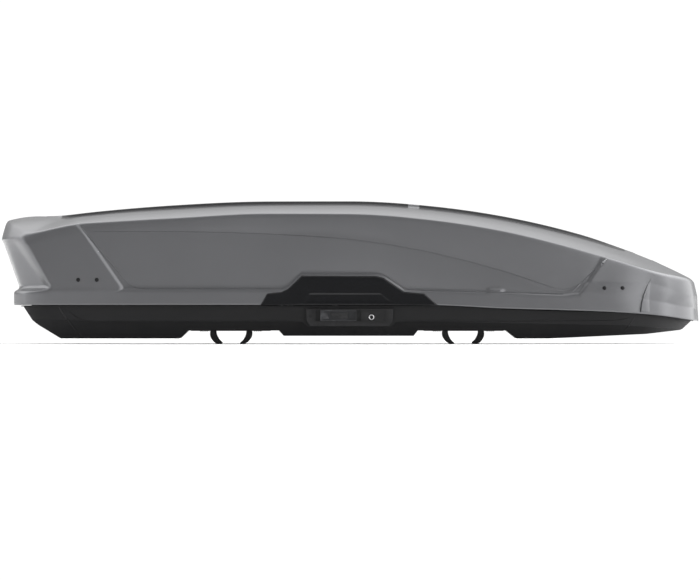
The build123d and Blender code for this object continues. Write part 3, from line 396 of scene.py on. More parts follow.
# Key points along the right half of the lid, from the middle of the rear to the middle of the nose, in
# millimetres: distances are from the frame's middle, heights from the ground. One list to each line,
# one point to each station.
lidShape = {
    "wall": 3.0,
    "columnStep": 7.5,
    "panelDepth": 7.0,
    "panelFrom": 5,  # stations that the recessed side panel runs between
    "panelTo": 13,
    "catchBoss": (480, 16),  # X and half width of the bulge that clears the foremost catch
    "rim": [(-1112, 0, 129), (-1112, -200, 129), (-1112, -345, 129), (-1074, -433, 129), (-985, -470, 129),
            (-895, -471, 129), (-735, -471, 129), (-600, -471, 129), (-265, -471, 129), (0, -471, 129),
            (259, -471, 128.6), (519, -467.5, 117), (735, -455, 111), (830, -443, 107.5), (985, -405, 98),
            (1126, -238, 80), (1160, 0, 74)],
    "bandTop": [(-1112, 0, 176), (-1112, -200, 176), (-1112, -345, 176), (-1074, -432, 176),
                (-983, -468, 177),
                (-760, -467, 178), (-690, -466.5, 178), (-600, -466.5, 178), (-265, -466.5, 178), (0, -465,
                                                                                                   178),
                (259, -464.5, 173), (519, -460.5, 168), (712, -449, 160), (757, -444, 164), (985, -396, 140),
                (1124, -234, 112), (1158, 0, 104)],
    "bandIn": [(-1094, 0, 182), (-1094, -200, 182), (-1088, -335, 182), (-1005, -440, 183), (-981, -466, 183),
               (-752, -466, 184), (-684, -466, 183), (-600, -466, 183), (-265, -466, 183), (0, -464, 183),
               (259, -463.5, 178), (519, -459.5, 172), (708, -448, 165), (762, -443, 170), (985, -394, 146),
               (1123, -233, 120), (1157.5, 0, 112)],
    "upperWall": [(-1149, 0, 330), (-1147, -200, 330), (-1138, -305, 331), (-1112, -362, 334),
                  (-1062, -441, 330),
                  (-880, -442, 366), (-790, -444, 368), (-571, -446, 372), (-274, -447, 364), (0, -450,
                                                                                               346.6),
                  (259, -452, 305), (519, -448, 238), (705, -442, 180), (790, -429, 205), (994, -376, 200),
                  (1128, -224, 160), (1156, 0, 158)],
    "crease": [(-1158, 0, 347), (-1156, -200, 347), (-1148, -310, 348), (-1120, -374, 350),
               (-1074, -425, 358),
               (-905, -434, 392), (-800, -437, 400), (-571, -440, 413), (-274, -442, 427), (0, -442, 426),
               (259, -441, 407), (519, -435, 366), (735, -421, 313), (842, -407, 283), (998, -366, 239),
               (1122, -215, 214), (1145, 0, 205)],
    "creaseTop": [(-1142, 0, 408), (-1138, -200, 405), (-1122, -300, 396), (-1098, -360, 383),
                  (-1062, -412, 370),
                  (-903, -421, 399), (-800, -424, 406), (-571, -427, 419), (-274, -429, 433), (0, -429, 432),
                  (259, -428, 413), (519, -421, 372.5), (735, -406, 320), (842, -391, 290), (992, -350, 246),
                  (1108, -205, 224), (1134, 0, 214)],
    "flankFoot": [(-1012, 0, 423), (-1008, -90, 423), (-996, -150, 422.5), (-975, -200, 421),
                  (-935, -236, 418),
                  (-880, -241, 423), (-760, -244, 435), (-571, -248, 448), (-274, -251, 460), (0, -251, 461),
                  (259, -248, 446), (519, -240, 409), (700, -222, 369), (800, -204, 342), (880, -176, 317),
                  (925, -120, 306), (945, 0, 302)],
    "roofEdge": [(-1008, 0, 424), (-1004, -88, 424), (-992, -146, 424), (-970, -195, 424.5),
                 (-931, -230, 427.5),
                 (-877, -234, 434), (-757, -237, 446), (-571, -241, 460), (-274, -244, 472), (0, -244, 472.5),
                 (259, -241, 457.5), (519, -233, 420.5), (698, -216, 380.5), (796, -198, 353), (875, -171,
                                                                                                326),
                 (921, -117, 310), (941, 0, 304)],
    "lines": ["rim", "bandTop", "bandIn", "upperWall", "crease", "creaseTop", "flankFoot", "roofEdge"],
    "rows": [10, 2, 30, 10, 4, 26, 3],
    "bulge": [0, 0, 1.5, 1.0, 2.0, 6.0, 0],
    "roofRows": 36,
    "innerRoofRows": 16,
    "innerEvery": 3,  # the inner skin keeps every third row of the outer one
    "roofCrown": 3.0,
    "stepFrom": -956,  # the step round the roof that is painted dark as shade, and the pale pad in it
    "stepTo": 912,
    "stepLap": 3,  # rows of the shoulder that the painted shade laps
    "padFrom": 192,
    "padTo": 232,
}


def lidLines(spec):
    # every key line of the right half, as evenly matched curves
    guide = np.array(spec["crease"], float)
    gaps = np.linalg.norm(np.diff(guide, axis=0), axis=1)
    counts = [max(4, int(round(gap / spec["columnStep"]))) for gap in gaps]
    lines = [smoothLine(spec[name], counts) for name in spec["lines"]]
    starts = np.concatenate([[0], np.cumsum(counts)])
    return lines, starts


def fillRows(low, high, count, bulge):
    # rows from one line towards the next, bowed outwards by bulge
    rows = []
    run = high - low
    side = np.stack([np.zeros(len(run)), -abs(run[:, 2]) - 1e-6, abs(run[:, 1])], axis=1)
    side /= np.linalg.norm(side, axis=1)[:, None]
    for step in range(count):
        t = step / count
        rows.append(low + run * t + side * bulge * 4 * t * (1 - t))
    return rows


def roundRows(rows, passes, keep=1):
    # eases the corners across the rows and leaves the first and last rows alone
    for _ in range(passes):
        eased = rows.copy()
        eased[keep:-1] = rows[keep:-1] * 0.5 + (rows[keep - 1:-2] + rows[keep + 1:]) * 0.25
        rows = eased
    return rows


def lidHalf(spec):
    lines, starts = lidLines(spec)
    rows = []
    owners = []
    for index, count in enumerate(spec["rows"]):
        rows += fillRows(lines[index], lines[index + 1], count, spec["bulge"][index])
        owners += [index + t / count for t in range(count)]
    rows.append(lines[-1])
    owners.append(len(lines) - 1)
    return np.array(rows), np.array(owners), starts


def smoothStep(values, low, high):
    t = np.clip((values - low) / (high - low), 0, 1)
    return t * t * (3 - 2 * t)


def recessPanel(rows, owners, starts, spec):
    # sinks the side panel between its ledge, its two slanted ends and the crease
    first, last = starts[spec["panelFrom"]], starts[spec["panelTo"]]
    columns = np.arange(rows.shape[1])
    along = smoothStep(columns, first - 0.2, first + 1.2) * (1 - smoothStep(columns, last - 1.2, last + 0.2))
    up = smoothStep(owners, 1.0, 2.0)
    fade = 1 - smoothStep(owners, 4.0, 6.0)
    catchX, catchReach = spec["catchBoss"]
    boss = 1 - smoothStep(abs(rows[:, :, 0] - catchX), catchReach, 2 * catchReach)
    boss *= 1 - smoothStep(rows[:, :, 2], 177, 187)
    sunk = rows.copy()
    sunk[:, :, 1] += spec["panelDepth"] * (up * fade)[:, None] * along[None, :] * (1 - boss)
    return sunk


gripShape = {
    "proud": 4.0,
    "top": [(-297, 129), (-274, 168), (-226, 173), (-205, 183), (-160, 226), (88, 225), (112, 219),
            (180, 173),
            (247, 167), (292, 129)],
    "ledgeGap": 5.0,
    "ledgeReach": 330,
    "scoop": {"left": (-148, -136), "right": (138, 100), "low": 137.0, "high": 168.0, "depth": 1.0,
              "edge": 4.0},
    "chamfer": 5.0,
    "wallLap": -0.6,
    "behind": 1.4,
    "columnStep": 3.5,
    "rows": 34,
    "rowCrowding": 1.3,  # above 1 packs the rows towards the top
}


def liftLedge(rows, owners, starts, spec, grip):
    # the panel's lower ledge climbs over the grip panel; rows between it and the rim follow
    xs = np.array([p[0] for p in grip["top"]])
    zs = np.array([p[1] for p in grip["top"]])
    out = rows.copy()
    for column in range(rows.shape[1]):
        x = rows[0, column, 0]
        if abs(x) >= grip["ledgeReach"]:
            continue
        top = np.interp(x, xs, zs, left=0, right=0) + grip["ledgeGap"]
        ledge = np.interp(1.5, owners, rows[:, column, 2])
        rise = max(0.0, top - ledge)
        low = owners <= 2
        crease = owners >= 4
        z = out[:, column, 2]
        rim = z[0]
        stretch = np.where(low, (z - rim) / max(ledge - rim, 1), 0)
        middle = (~low) & (~crease)
        topZ = z[np.argmax(crease)]
        ledgeIn = z[np.argmax(owners >= 2)]
        share = np.where(middle, (topZ - z) / max(topZ - ledgeIn, 1), 0)
        factor = np.where(low, np.clip(stretch, 0, 1.1), share)
        lift = rise * factor
        slope = (out[:, column, 1][np.argmax(crease)] - out[0, column, 1]) / (topZ - rim)
        out[:, column, 2] = z + lift
        out[:, column, 1] += lift * slope
    return out


def wrapLid(half, spec, roofRows):
    # both halves of the wall as one closed ring, with the roof between them
    rowCount, columns = half.shape[:2]
    ring = np.concatenate([half, mirrorY(half[:, ::-1])[:, 1:-1]], axis=1)
    verts = list(ring.reshape(-1, 3))
    around = ring.shape[1]
    faces = gridFaces(rowCount, around, closed=True)
    top = (rowCount - 1) * around
    start = len(verts)
    right = half[-1]
    for c in range(columns):
        for r in range(1, roofRows):
            t = r / roofRows
            y = right[c, 1] * (1 - 2 * t)
            crown = spec["roofCrown"] * (1 - (1 - 2 * t) ** 2) * min(1.0, abs(right[c, 1]) / 200)
            verts.append(np.array([right[c, 0], y, right[c, 2] + crown]))

    def roofIndex(c, r):
        if r == 0 or c in (0, columns - 1):
            return top + c
        if r == roofRows:
            return top + (around - c) % around
        return start + c * (roofRows - 1) + r - 1

    for c in range(columns - 1):
        for r in range(roofRows):
            quad = [roofIndex(c, r), roofIndex(c + 1, r), roofIndex(c + 1, r + 1), roofIndex(c, r + 1)]
            face = [v for i, v in enumerate(quad) if v not in quad[:i]]
            if len(face) >= 3:
                faces.append(tuple(face))
    return verts, faces, around


def makeLid(spec, grip):
    half, owners, starts = lidHalf(spec)
    half = liftLedge(half, owners, starts, spec, grip)
    half = recessPanel(half, owners, starts, spec)
    half = roundRows(half, 2)
    half[:, 0, 1] = 0
    half[:, -1, 1] = 0
    half *= mm
    metres = dict(spec, roofCrown=spec["roofCrown"] * mm)
    outer, outerFaces, around = wrapLid(half, metres, spec["roofRows"])
    skin = makeMesh("lidOuterScratch", outer, outerFaces)
    normals = np.zeros(len(skin.data.vertices) * 3)
    skin.data.vertices.foreach_get("normal", normals)
    normals = normals.reshape(-1, 3)[: half.shape[0] * around].reshape(half.shape[0], around, 3)
    bpy.data.objects.remove(skin)
    picked = list(range(0, half.shape[0] - 1, spec["innerEvery"])) + [half.shape[0] - 1]
    columns = half.shape[1]
    inward = half[picked] - normals[picked][:, :columns] * spec["wall"] * mm
    inward[0, :, 2] = half[0, :, 2]
    inward[:, 0, 1] = 0
    inward[:, -1, 1] = 0
    inner, innerFaces, _ = wrapLid(inward, metres, spec["innerRoofRows"])
    shift = len(outer)
    faces = outerFaces + [tuple(v + shift for v in face[::-1]) for face in innerFaces]
    for c in range(around):
        d = (c + 1) % around
        faces.append((c, shift + c, shift + d, d))
    return makeMesh("lidSkin", outer + inner, faces), half


lidSkin, lidGrid = makeLid(lidShape, gripShape)
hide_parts("lid_shell")
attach(lidSkin, "lid")
coat(lidSkin, "titan_paint")
# second material: painted shade on the roof step, in place of the dark reflection on its steep face
lidSkin.data.materials.append(finishes["roof_step_painted_shade"])
print("lid built:", len(lidSkin.data.polygons), "faces")


def darkenStep(piece, spec):
    # the step round the roof gets a dark material as painted shade, standing in for the dark reflection on
    # its steep face, apart from one small pad on each side where the paint is left
    firstRow = sum(spec["rows"][:-1]) - spec["stepLap"]
    around = 2 * (lidGrid.shape[1] - 1)
    low, high = spec["padFrom"] * mm, spec["padTo"] * mm
    lastRow = sum(spec["rows"])
    for face in piece.data.polygons[firstRow * around:lastRow * around]:
        inPad = low < face.center[0] < high
        inReach = spec["stepFrom"] * mm < face.center[0] < spec["stepTo"] * mm
        face.material_index = 0 if inPad or not inReach else 1


darkenStep(lidSkin, lidShape)


def wallColumn(x):
    # heights and places of the outer side wall at one X, from the rim to the crease
    rows = sum(lidShape["rows"][:5])
    grid = lidGrid[:rows]
    zs, ys = [], []
    for row in grid:
        zs.append(np.interp(x, row[:, 0], row[:, 2]))
        ys.append(np.interp(x, row[:, 0], row[:, 1]))
    return np.array(zs), np.array(ys)


def wallPoint(x, z):
    zs, ys = wallColumn(x)
    return np.array([x, np.interp(z, zs, ys), z])


def profileAt(x):
    # the right half of the lid's outer section at one X, from the rim to the middle of the roof
    points = []
    for row in lidGrid:
        points.append((np.interp(x, row[:, 0], row[:, 1]), np.interp(x, row[:, 0], row[:, 2])))
    edgeY, edgeZ = points[-1]
    for step in range(1, 11):
        t = step / 20
        crown = lidShape["roofCrown"] * mm * (1 - (1 - 2 * t) ** 2)
        points.append((edgeY * (1 - 2 * t), edgeZ + crown))
    return np.array(points)


def inwardShift(points, distance):
    # the section moved inwards; ends keep the direction of their neighbours
    run = np.gradient(points, axis=0)
    run /= np.linalg.norm(run, axis=1)[:, None]
    normal = np.stack([run[:, 1], -run[:, 0]], axis=1)
    return points + normal * distance


hoopShape = {
    "footZ": 0.150,
    "half": 0.045,
    "skin": 0.0034,
    "band": 0.0020,
    "rib": 0.0200,
    "ribHalf": 0.0020,
    "across": 7,
    "places": {"lid_hoop_rear": -0.867, "lid_hoop_middle": 0.590, "lid_hoop_front": 0.871},
}


def hoopSheet(xs, distance, spec):
    sheet = []
    for x in xs:
        points = inwardShift(profileAt(x), distance)
        full = np.concatenate([points, points[-2::-1] * np.array([-1, 1])])
        kept = full[full[:, 1] > spec["footZ"]]
        sheet.append(np.column_stack([np.full(len(kept), x), kept]))
    shortest = min(len(line) for line in sheet)
    trimmed = []
    for line in sheet:
        extra = len(line) - shortest
        trimmed.append(line[extra // 2: extra // 2 + shortest])
    return np.array(trimmed)


def closedShell(outer, inner):
    # two matching sheets joined round their edges
    rows, columns = outer.shape[:2]
    shift = rows * columns
    verts = list(outer.reshape(-1, 3)) + list(inner.reshape(-1, 3))
    faces = gridFaces(rows, columns) + gridFaces(rows, columns, start=shift, flip=True)
    edge = list(range(columns))
    edge += [r * columns + columns - 1 for r in range(1, rows)]
    edge += [(rows - 1) * columns + c for c in range(columns - 2, -1, -1)]
    edge += [r * columns for r in range(rows - 2, 0, -1)]
    for a, b in zip(edge, edge[1:] + edge[:1]):
        faces.append((b, a, a + shift, b + shift))
    return verts, faces


def makeHoop(name, x, spec):
    xs = np.linspace(x - spec["half"], x + spec["half"], spec["across"])
    depth = spec["skin"] + spec["band"]
    verts, faces = closedShell(hoopSheet(xs, spec["skin"], spec), hoopSheet(xs, depth, spec))
    ribXs = [x - spec["ribHalf"], x + spec["ribHalf"]]
    ribVerts, ribFaces = closedShell(hoopSheet(ribXs, depth, spec),
                                     hoopSheet(ribXs, depth + spec["rib"], spec))
    shift = len(verts)
    faces += [tuple(v + shift for v in face) for face in ribFaces]
    piece = makeMesh(name.replace("lid_hoop", "hoopVisual"), verts + ribVerts, faces, smooth=False)
    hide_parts(name)
    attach(piece, "lid")
    coat(piece, "hoop_aluminium")


for hoopName, hoopX in hoopShape["places"].items():
    makeHoop(hoopName, hoopX, hoopShape)
print("hoops built:", len(hoopShape["places"]))


rivetShape = {
    "places": [(-0.898, 0.212), (-0.8365, 0.212), (0.841, 0.185), (0.901, 0.185)],
    "headRadius": 0.0068,
    "headTall": 0.0026,
    "shankRadius": 0.0038,
    "shankLong": 0.009,
    "around": 28,
}


def turned(profile, centre, axis, around):
    # a solid of revolution: (radius, height) pairs about an axis through centre
    axis = np.array(axis, float) / np.linalg.norm(axis)
    side = np.cross(axis, (0.0, 0.0, 1.0) if abs(axis[2]) < 0.9 else (1.0, 0.0, 0.0))
    side /= np.linalg.norm(side)
    other = np.cross(axis, side)
    rings = []
    for radius, height in profile:
        for step in range(around):
            turn = 2 * math.pi * step / around
            rings.append(centre + axis * height + (side * math.cos(turn) + other * math.sin(turn)) * radius)
    faces = gridFaces(len(profile), around, closed=True)
    last = (len(profile) - 1) * around
    faces.append(tuple(range(around))[::-1])
    faces.append(tuple(last + step for step in range(around)))
    return rings, faces


def makeRivets(spec):
    verts, faces = [], []
    r, tall = spec["headRadius"], spec["headTall"]
    dome = [(r * math.cos(a), tall * (0.25 + 0.75 * math.sin(a))) for a in np.linspace(0, math.pi / 2 - 0.08,
                                                                                       7)]
    profile = [(spec["shankRadius"], -spec["shankLong"]), (spec["shankRadius"], -0.0004), (r, -0.0004), *dome]
    for x, z in spec["places"]:
        spot = wallPoint(x, z)
        above, ahead = wallPoint(x, z + 0.004) - spot, wallPoint(x + 0.004, z) - spot
        axis = np.cross(ahead, above)
        axis *= -1 if axis[1] > 0 else 1
        for side in (1, -1):
            flip = np.array([1, side, 1])
            ring, ringFaces = turned(profile, spot * flip, axis * flip, spec["around"])
            faces += [tuple(v + len(verts) for v in face) for face in ringFaces]
            verts += ring
    piece = makeMesh("rivetHeads", verts, faces)
    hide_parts("lid_rivets")
    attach(piece, "lid")
    coat(piece, "rivet_black")


makeRivets(rivetShape)


def ramp(value, low, high):
    t = min(max((value - low) / (high - low), 0.0), 1.0)
    return t * t * (3 - 2 * t)


def insideDepth(x, z, corners):
    # how far a point is inside a convex-ish outline that is open at its foot; negative outside
    xs = [c[0] for c in corners]
    zs = [c[1] for c in corners]
    top = np.interp(x, xs, zs, left=-1e3, right=-1e3)
    best = 1e3
    for (x0, z0), (x1, z1) in zip(corners, corners[1:]):
        dx, dz = x1 - x0, z1 - z0
        t = min(max(((x - x0) * dx + (z - z0) * dz) / (dx * dx + dz * dz), 0.0), 1.0)
        best = min(best, math.hypot(x - x0 - t * dx, z - z0 - t * dz))
    return best if z <= top else -best


def scoopDepth(x, z, scoop):
    (leftLow, leftHigh), (rightLow, rightHigh) = scoop["left"], scoop["right"]
    t = (z - scoop["low"]) / (scoop["high"] - scoop["low"])
    left = leftLow + (leftHigh - leftLow) * t
    right = rightLow + (rightHigh - rightLow) * t
    edge = scoop["edge"]
    across = ramp(x, left, left + edge) * (1 - ramp(x, right - edge, right))
    low, high = scoop["low"], scoop["high"]
    return scoop["depth"] * across * ramp(z, low, low + edge) * (1 - ramp(z, high - edge, high))


def makeGrip(name, side, spec):
    # a glossy panel that laps the lid's side, with a chamfered rim and a shallow scoop
    corners = spec["top"]
    low, high = corners[0][0], corners[-1][0]
    count = int((high - low) / spec["columnStep"])
    front, back = [], []
    for c in range(count + 1):
        x = low + (high - low) * c / count
        top = np.interp(x, [p[0] for p in corners], [p[1] for p in corners])
        top = max(top, corners[0][1] + 1.0)
        foot = corners[0][1]
        zs, ys = wallColumn(x * mm)
        frontLine, backLine = [], []
        for r in range(spec["rows"] + 1):
            t = r / spec["rows"]
            z = foot + (top - foot) * (1 - (1 - t) ** spec["rowCrowding"])
            wall = np.interp(z * mm, zs, ys) / mm
            depth = insideDepth(x, z, corners)
            proud = spec["proud"] * ramp(depth, 0.0,
                                         spec["chamfer"]) + spec["wallLap"] * (1 - ramp(depth, 0.0, 1.0))
            proud = min(proud, spec["proud"]) - scoopDepth(x, z, spec["scoop"])
            frontLine.append((x * mm, side * (wall - proud) * -mm, z * mm))
            backLine.append((x * mm, side * (wall + spec["behind"]) * -mm, z * mm))
        front.append(frontLine)
        back.append(backLine)
    front, back = np.array(front), np.array(back)
    verts, faces = closedShell(front, back)
    if side > 0:
        faces = [face[::-1] for face in faces]
    piece = makeMesh(name.replace("lid_grip", "gripVisual"), verts, faces)
    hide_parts(name)
    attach(piece, "lid")
    coat(piece, "grip_gloss")


for gripName, gripSide in (("lid_grip_right", -1), ("lid_grip_left", 1)):
    makeGrip(gripName, gripSide, gripShape)
print("grips built")


lidTree = BVHTree.FromPolygons([v.co for v in lidSkin.data.vertices],
                               [f.vertices for f in lidSkin.data.polygons])
trayNode = nodes["base_tray"]
trayTree = BVHTree.FromPolygons([trayNode.matrix_world @ v.co for v in trayNode.data.vertices],
                                [f.vertices for f in trayNode.data.polygons])


farOut = 2.0  # metres; outside every surface that a ray looks for


def sideHit(tree, x, z):
    # where a level line from the right meets a surface, and the surface's direction there
    place, normal, _, _ = tree.ray_cast(Vector((x, -farOut, z)), Vector((0, 1, 0)))
    if place is None:
        return None
    normal = np.array(normal)
    return np.array(place), normal * (-1 if normal[1] > 0 else 1)


def densePath(corners, step):
    path = []
    for (x0, z0), (x1, z1) in zip(corners, corners[1:]):
        count = max(1, int(math.hypot(x1 - x0, z1 - z0) / step))
        path += [(x0 + (x1 - x0) * k / count, z0 + (z1 - z0) * k / count) for k in range(count)]
    return path + [corners[-1]]


def closeNormals(piece):
    shape = bmesh.new()
    shape.from_mesh(piece.data)
    bmesh.ops.recalc_face_normals(shape, faces=shape.faces)
    shape.to_mesh(piece.data)
    shape.free()


def makeSeam(name, tree, body, finish, spec):
    # a thin moulded ridge along a side, on both sides; lean -1 turns its broad face up, 1 turns it down
    verts, faces = [], []
    path = densePath(spec["path"], spec.get("step", 9.0))
    hits = [sideHit(tree, x * mm, z * mm) for x, z in path]
    hits = [hit for hit in hits if hit is not None]
    places = np.array([hit[0] for hit in hits])
    runs = np.gradient(places, axis=0)
    width, proud, lean = spec["width"] * mm, spec["proud"] * mm, spec["lean"]
    sink = spec.get("sink", 1.2) * mm
    for side in (1, -1):
        flip = np.array([1, side, 1])
        start = len(verts)
        for k, (place, normal) in enumerate(hits):
            run = runs[k] / np.linalg.norm(runs[k])
            up = np.cross(run, normal)
            up /= np.linalg.norm(up)
            up *= -1 if up[2] < 0 else 1
            taper = min(1.0, (k + 0.35) / 3, (len(hits) - k - 0.65) / 3)
            foot, head = place - up * width / 2 - normal * sink, place + up * width / 2 - normal * sink
            ridge = place + up * width * 0.45 * lean + normal * proud * taper
            verts += [foot * flip, ridge * flip, head * flip]
        faces += [tuple(v + start for v in face) for face in gridFaces(len(hits), 3, closed=True)]
        last = start + 3 * (len(hits) - 1)
        faces += [(start, start + 1, start + 2), (last + 2, last + 1, last)]
    piece = makeMesh(name, verts, faces, smooth=False)
    closeNormals(piece)
    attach(piece, body)
    coat(piece, finish)


lidSeams = {
    "panelLedge": {"path": [(-894, 392), (-735, 204), (-716, 190), (-690, 183.5), (-220, 183), (-206, 190),
                            (-161, 233),
                            (94, 233), (116, 226), (182, 182), (252, 177), (318, 176), (520, 171), (700,
                                                                                                    165.5),
                                                                                                    (728,
                                                                                                     168)],
                   "width": 2.7, "proud": 2.0, "lean": -1, "sink": 1.6},
    "panelFront": {"path": [(733, 168), (762, 198), (826, 262)], "width": 3.4, "proud": 2.0, "lean": 1},
    "upperCrease": {"path": [(-862, 372), (-571, 372), (-420, 369), (-274, 364), (-130, 357), (0, 347),
                             (130, 329),
                             (259, 305), (390, 274), (518, 238), (610, 208), (690, 181)],
                    "width": 2.2, "proud": 1.7, "lean": -1, "sink": 1.4},
    "noseSliver": {"path": [(826, 262), (836, 272), (850, 284)], "width": 11.0, "proud": 7.0, "lean": -1,
                   "step": 3.0, "sink": 5.0},
}
for seamName, seam in lidSeams.items():
    makeSeam(seamName, lidTree, "lid", "titan_paint", seam)
traySeams = {
    "beltEdge": {"path": [(-932, 112), (-915, 98), (-900, 88), (-880, 80), (-850, 76), (-178, 76)],
                 "width": 2.0, "proud": 1.7, "lean": -1, "sink": 1.4},
    "beltEdgeFront": {"path": [(176, 76), (560, 76), (840, 78), (890, 80), (918, 86), (934, 94)],
                      "width": 2.0, "proud": 1.7, "lean": -1, "sink": 1.4},
    "rearGroove": {"path": [(-964, 122), (-944, 92), (-922, 62), (-904, 40), (-886, 24)],
                   "width": 7.0, "proud": 2.2, "lean": 1},
    "noseFold": {"path": [(944, 88), (928, 66), (912, 44), (902, 30)], "width": 6.0, "proud": 1.8, "lean": 1},
    "rimLine": {"path": [(-290, 125.6), (286, 125.6)], "width": 1.6, "proud": 1.5, "lean": -1, "sink": 1.2},
}
for seamName, seam in traySeams.items():
    makeSeam(seamName, trayTree, "base", "tray_plastic", seam)
print("seams built:", len(lidSeams) + len(traySeams))


leafShape = {"tip": (1000, 220), "left": [(1000, 220), (984, 196), (970, 162), (962, 128), (960, 106)],
             "right": [(1000, 220), (993, 190), (990, 160), (990, 130),
                       (991, 105)], "proud": 8.0, "footWide": 31, "rows": 26, "columns": 7}


def makeLeaf(spec):
    # a narrow facet on the nose's side that turns forwards
    verts, faces = [], []
    leftZ, rightZ = [p[1] for p in spec["left"]][::-1], [p[1] for p in spec["right"]][::-1]
    leftX, rightX = [p[0] for p in spec["left"]][::-1], [p[0] for p in spec["right"]][::-1]
    low = min(leftZ)
    front, back = [], []
    for r in range(spec["rows"] + 1):
        z = low + (spec["tip"][1] - 1.0 - low) * r / spec["rows"]
        x0, x1 = np.interp(z, leftZ, leftX), np.interp(z, rightZ, rightX)
        frontLine, backLine = [], []
        for c in range(spec["columns"] + 1):
            t = c / spec["columns"]
            place, normal = sideHit(lidTree, (x0 + (x1 - x0) * t) * mm, z * mm)
            lift = spec["proud"] * mm * (1 - t) * ((x1 - x0) / spec["footWide"])
            frontLine.append(place + normal * (lift + 0.0002))
            backLine.append(place - normal * 0.002)
        front.append(frontLine)
        back.append(backLine)
    ring, ringFaces = closedShell(np.array(front), np.array(back))
    for side in (1, -1):
        start = len(verts)
        verts += [v * np.array([1, side, 1]) for v in ring]
        faces += [tuple(v + start for v in face) for face in ringFaces]
    piece = makeMesh("noseLeaf", verts, faces, smooth=False)
    closeNormals(piece)
    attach(piece, "lid")
    coat(piece, "titan_paint")


makeLeaf(leafShape)


badgeShape = {"from": 1000, "to": 1030, "half": 65, "proud": 2.4, "rows": 8, "columns": 24}


def makeBadge(spec):
    top, foot = [], []
    for r in range(spec["rows"] + 1):
        x = (spec["from"] + (spec["to"] - spec["from"]) * r / spec["rows"]) * mm
        topLine, footLine = [], []
        for c in range(spec["columns"] + 1):
            y = spec["half"] * mm * (2 * c / spec["columns"] - 1)
            place, normal, _, _ = lidTree.ray_cast(Vector((x, y, farOut)), Vector((0, 0, -1)))
            edge = min(r, spec["rows"] - r, 1) * min(c, spec["columns"] - c, 1)
            topLine.append(np.array(place) + np.array([0, 0, 1]) * spec["proud"] * mm * (0.45 + 0.55 * edge))
            footLine.append(np.array(place) - np.array([0, 0, 0.0015]))
        top.append(topLine)
        foot.append(footLine)
    verts, faces = closedShell(np.array(top), np.array(foot))
    piece = makeMesh("badgeVisual", verts, faces)
    closeNormals(piece)
    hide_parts("nose_badge")
    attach(piece, "lid")
    coat(piece, "badge_plastic")


makeBadge(badgeShape)
print("nose details built")


lockShape = {
    "bodies": {"right": -1, "left": 1},
    "keyRings": [(0.0092, -0.020), (0.0092, -0.0006), (0.0086, 0.0), (0.0066, 0.0), (0.0058, -0.0012),
                 (0.0040, -0.0034)],
    "around": 36,
    "slotRadius": 0.0052,
    "slotDeep": 0.001,
}


def makeKey(side, name, spec):
    low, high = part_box(f"key_cylinder_{name}")
    faceY = low[1] if side < 0 else high[1]
    centre = np.array([(low[0] + high[0]) / 2, faceY, (low[2] + high[2]) / 2])
    verts, faces = turned(spec["keyRings"], centre, (0, side, 0), spec["around"])
    piece = makeMesh(f"keyVisual_{name}", verts, faces)
    closeNormals(piece)
    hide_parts(f"key_cylinder_{name}")
    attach(piece, f"key_{name}")
    coat(piece, "key_chrome")
    piece.data.materials.append(finishes["rivet_black"])
    for face in piece.data.polygons:
        offset = np.array(face.center) - centre
        if math.hypot(offset[0], offset[2]) < spec["slotRadius"] and offset[1] * side < spec["slotDeep"]:
            face.material_index = 1


for keyName, keySide in lockShape["bodies"].items():
    makeKey(keySide, keyName, lockShape)


thumbShape = {
    "plate": [(-66, 104), (-8, 104), (-8, 83), (-56, 83)],
    "plateProud": 1.6,
    "insert": [(-94, 103), (-76, 103), (-70, 84), (-92, 84)],
    "hole": (-131, 92, 5.6),
    "sink": 1.0,
}


def raisedPlate(name, outline, faceY, side, proud, sink, body, finish):
    # a thin plate on a level side face, with chamfered edges
    middle = np.mean(np.array(outline, float), axis=0)
    rings = []
    for out, share in ((-sink, 1.0), (proud * 0.5, 1.0), (proud, 0.93)):
        ring = [middle + (np.array(corner) - middle) * share for corner in outline]
        rings += [(x * mm, faceY + side * out * mm, z * mm) for x, z in ring]
    faces = gridFaces(3, len(outline), closed=True)
    faces += [tuple(range(len(outline)))[::-1], tuple(range(2 * len(outline), 3 * len(outline)))]
    piece = makeMesh(name, rings, faces, smooth=False)
    closeNormals(piece)
    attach(piece, body)
    coat(piece, finish)


def ovalOutline(x, z, radius, around=24):
    turns = [2 * math.pi * k / around for k in range(around)]
    return [(x + radius * math.cos(turn), z + radius * math.sin(turn)) for turn in turns]


for lockName, lockSide in lockShape["bodies"].items():
    sliderBox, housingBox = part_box(f"lock_slider_{lockName}"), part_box(f"lock_housing_{lockName}")
    outer = 0 if lockSide < 0 else 1
    sliderY, housingY = sliderBox[outer][1], housingBox[outer][1]
    raisedPlate(f"thumbPlate_{lockName}", thumbShape["plate"], sliderY, lockSide, thumbShape["plateProud"],
                thumbShape["sink"], f"lock_{lockName}", "knob_plastic")
    raisedPlate(f"thumbInsert_{lockName}", thumbShape["insert"], sliderY, lockSide,
                thumbShape["plateProud"] / 2,
                thumbShape["sink"], f"lock_{lockName}", "slider_plastic")
    holeX, holeZ, holeR = thumbShape["hole"]
    raisedPlate(f"housingPlug_{lockName}", ovalOutline(holeX, holeZ, holeR), housingY, lockSide, 0.5,
                thumbShape["sink"], "base", "rivet_black")
print("lock details built")


softShape = {
    # bevel width in metres by the start of a node's name; the first match is used
    "bevels": [("base_tray", 0.0022), ("lock_housing", 0.0012), ("bar_pads", 0.0004), ("strut_", 0.0006),
               ("key_", 0.0005),
               ("lock_slider", 0.0010), ("clamp_", 0.0008), ("hinge_pins", 0.0005), ("", 0.0006)],
    "turn": 34,
}


def softenCad(piece, width, spec):
    # rounded corners on a CAD node, by a bevel modifier only
    bevel = piece.modifiers.new("edges", "BEVEL")
    bevel.width = width
    bevel.segments = 2
    bevel.limit_method = "ANGLE"
    bevel.angle_limit = math.radians(spec["turn"])
    bevel.use_clamp_overlap = True
    bevel.harden_normals = False


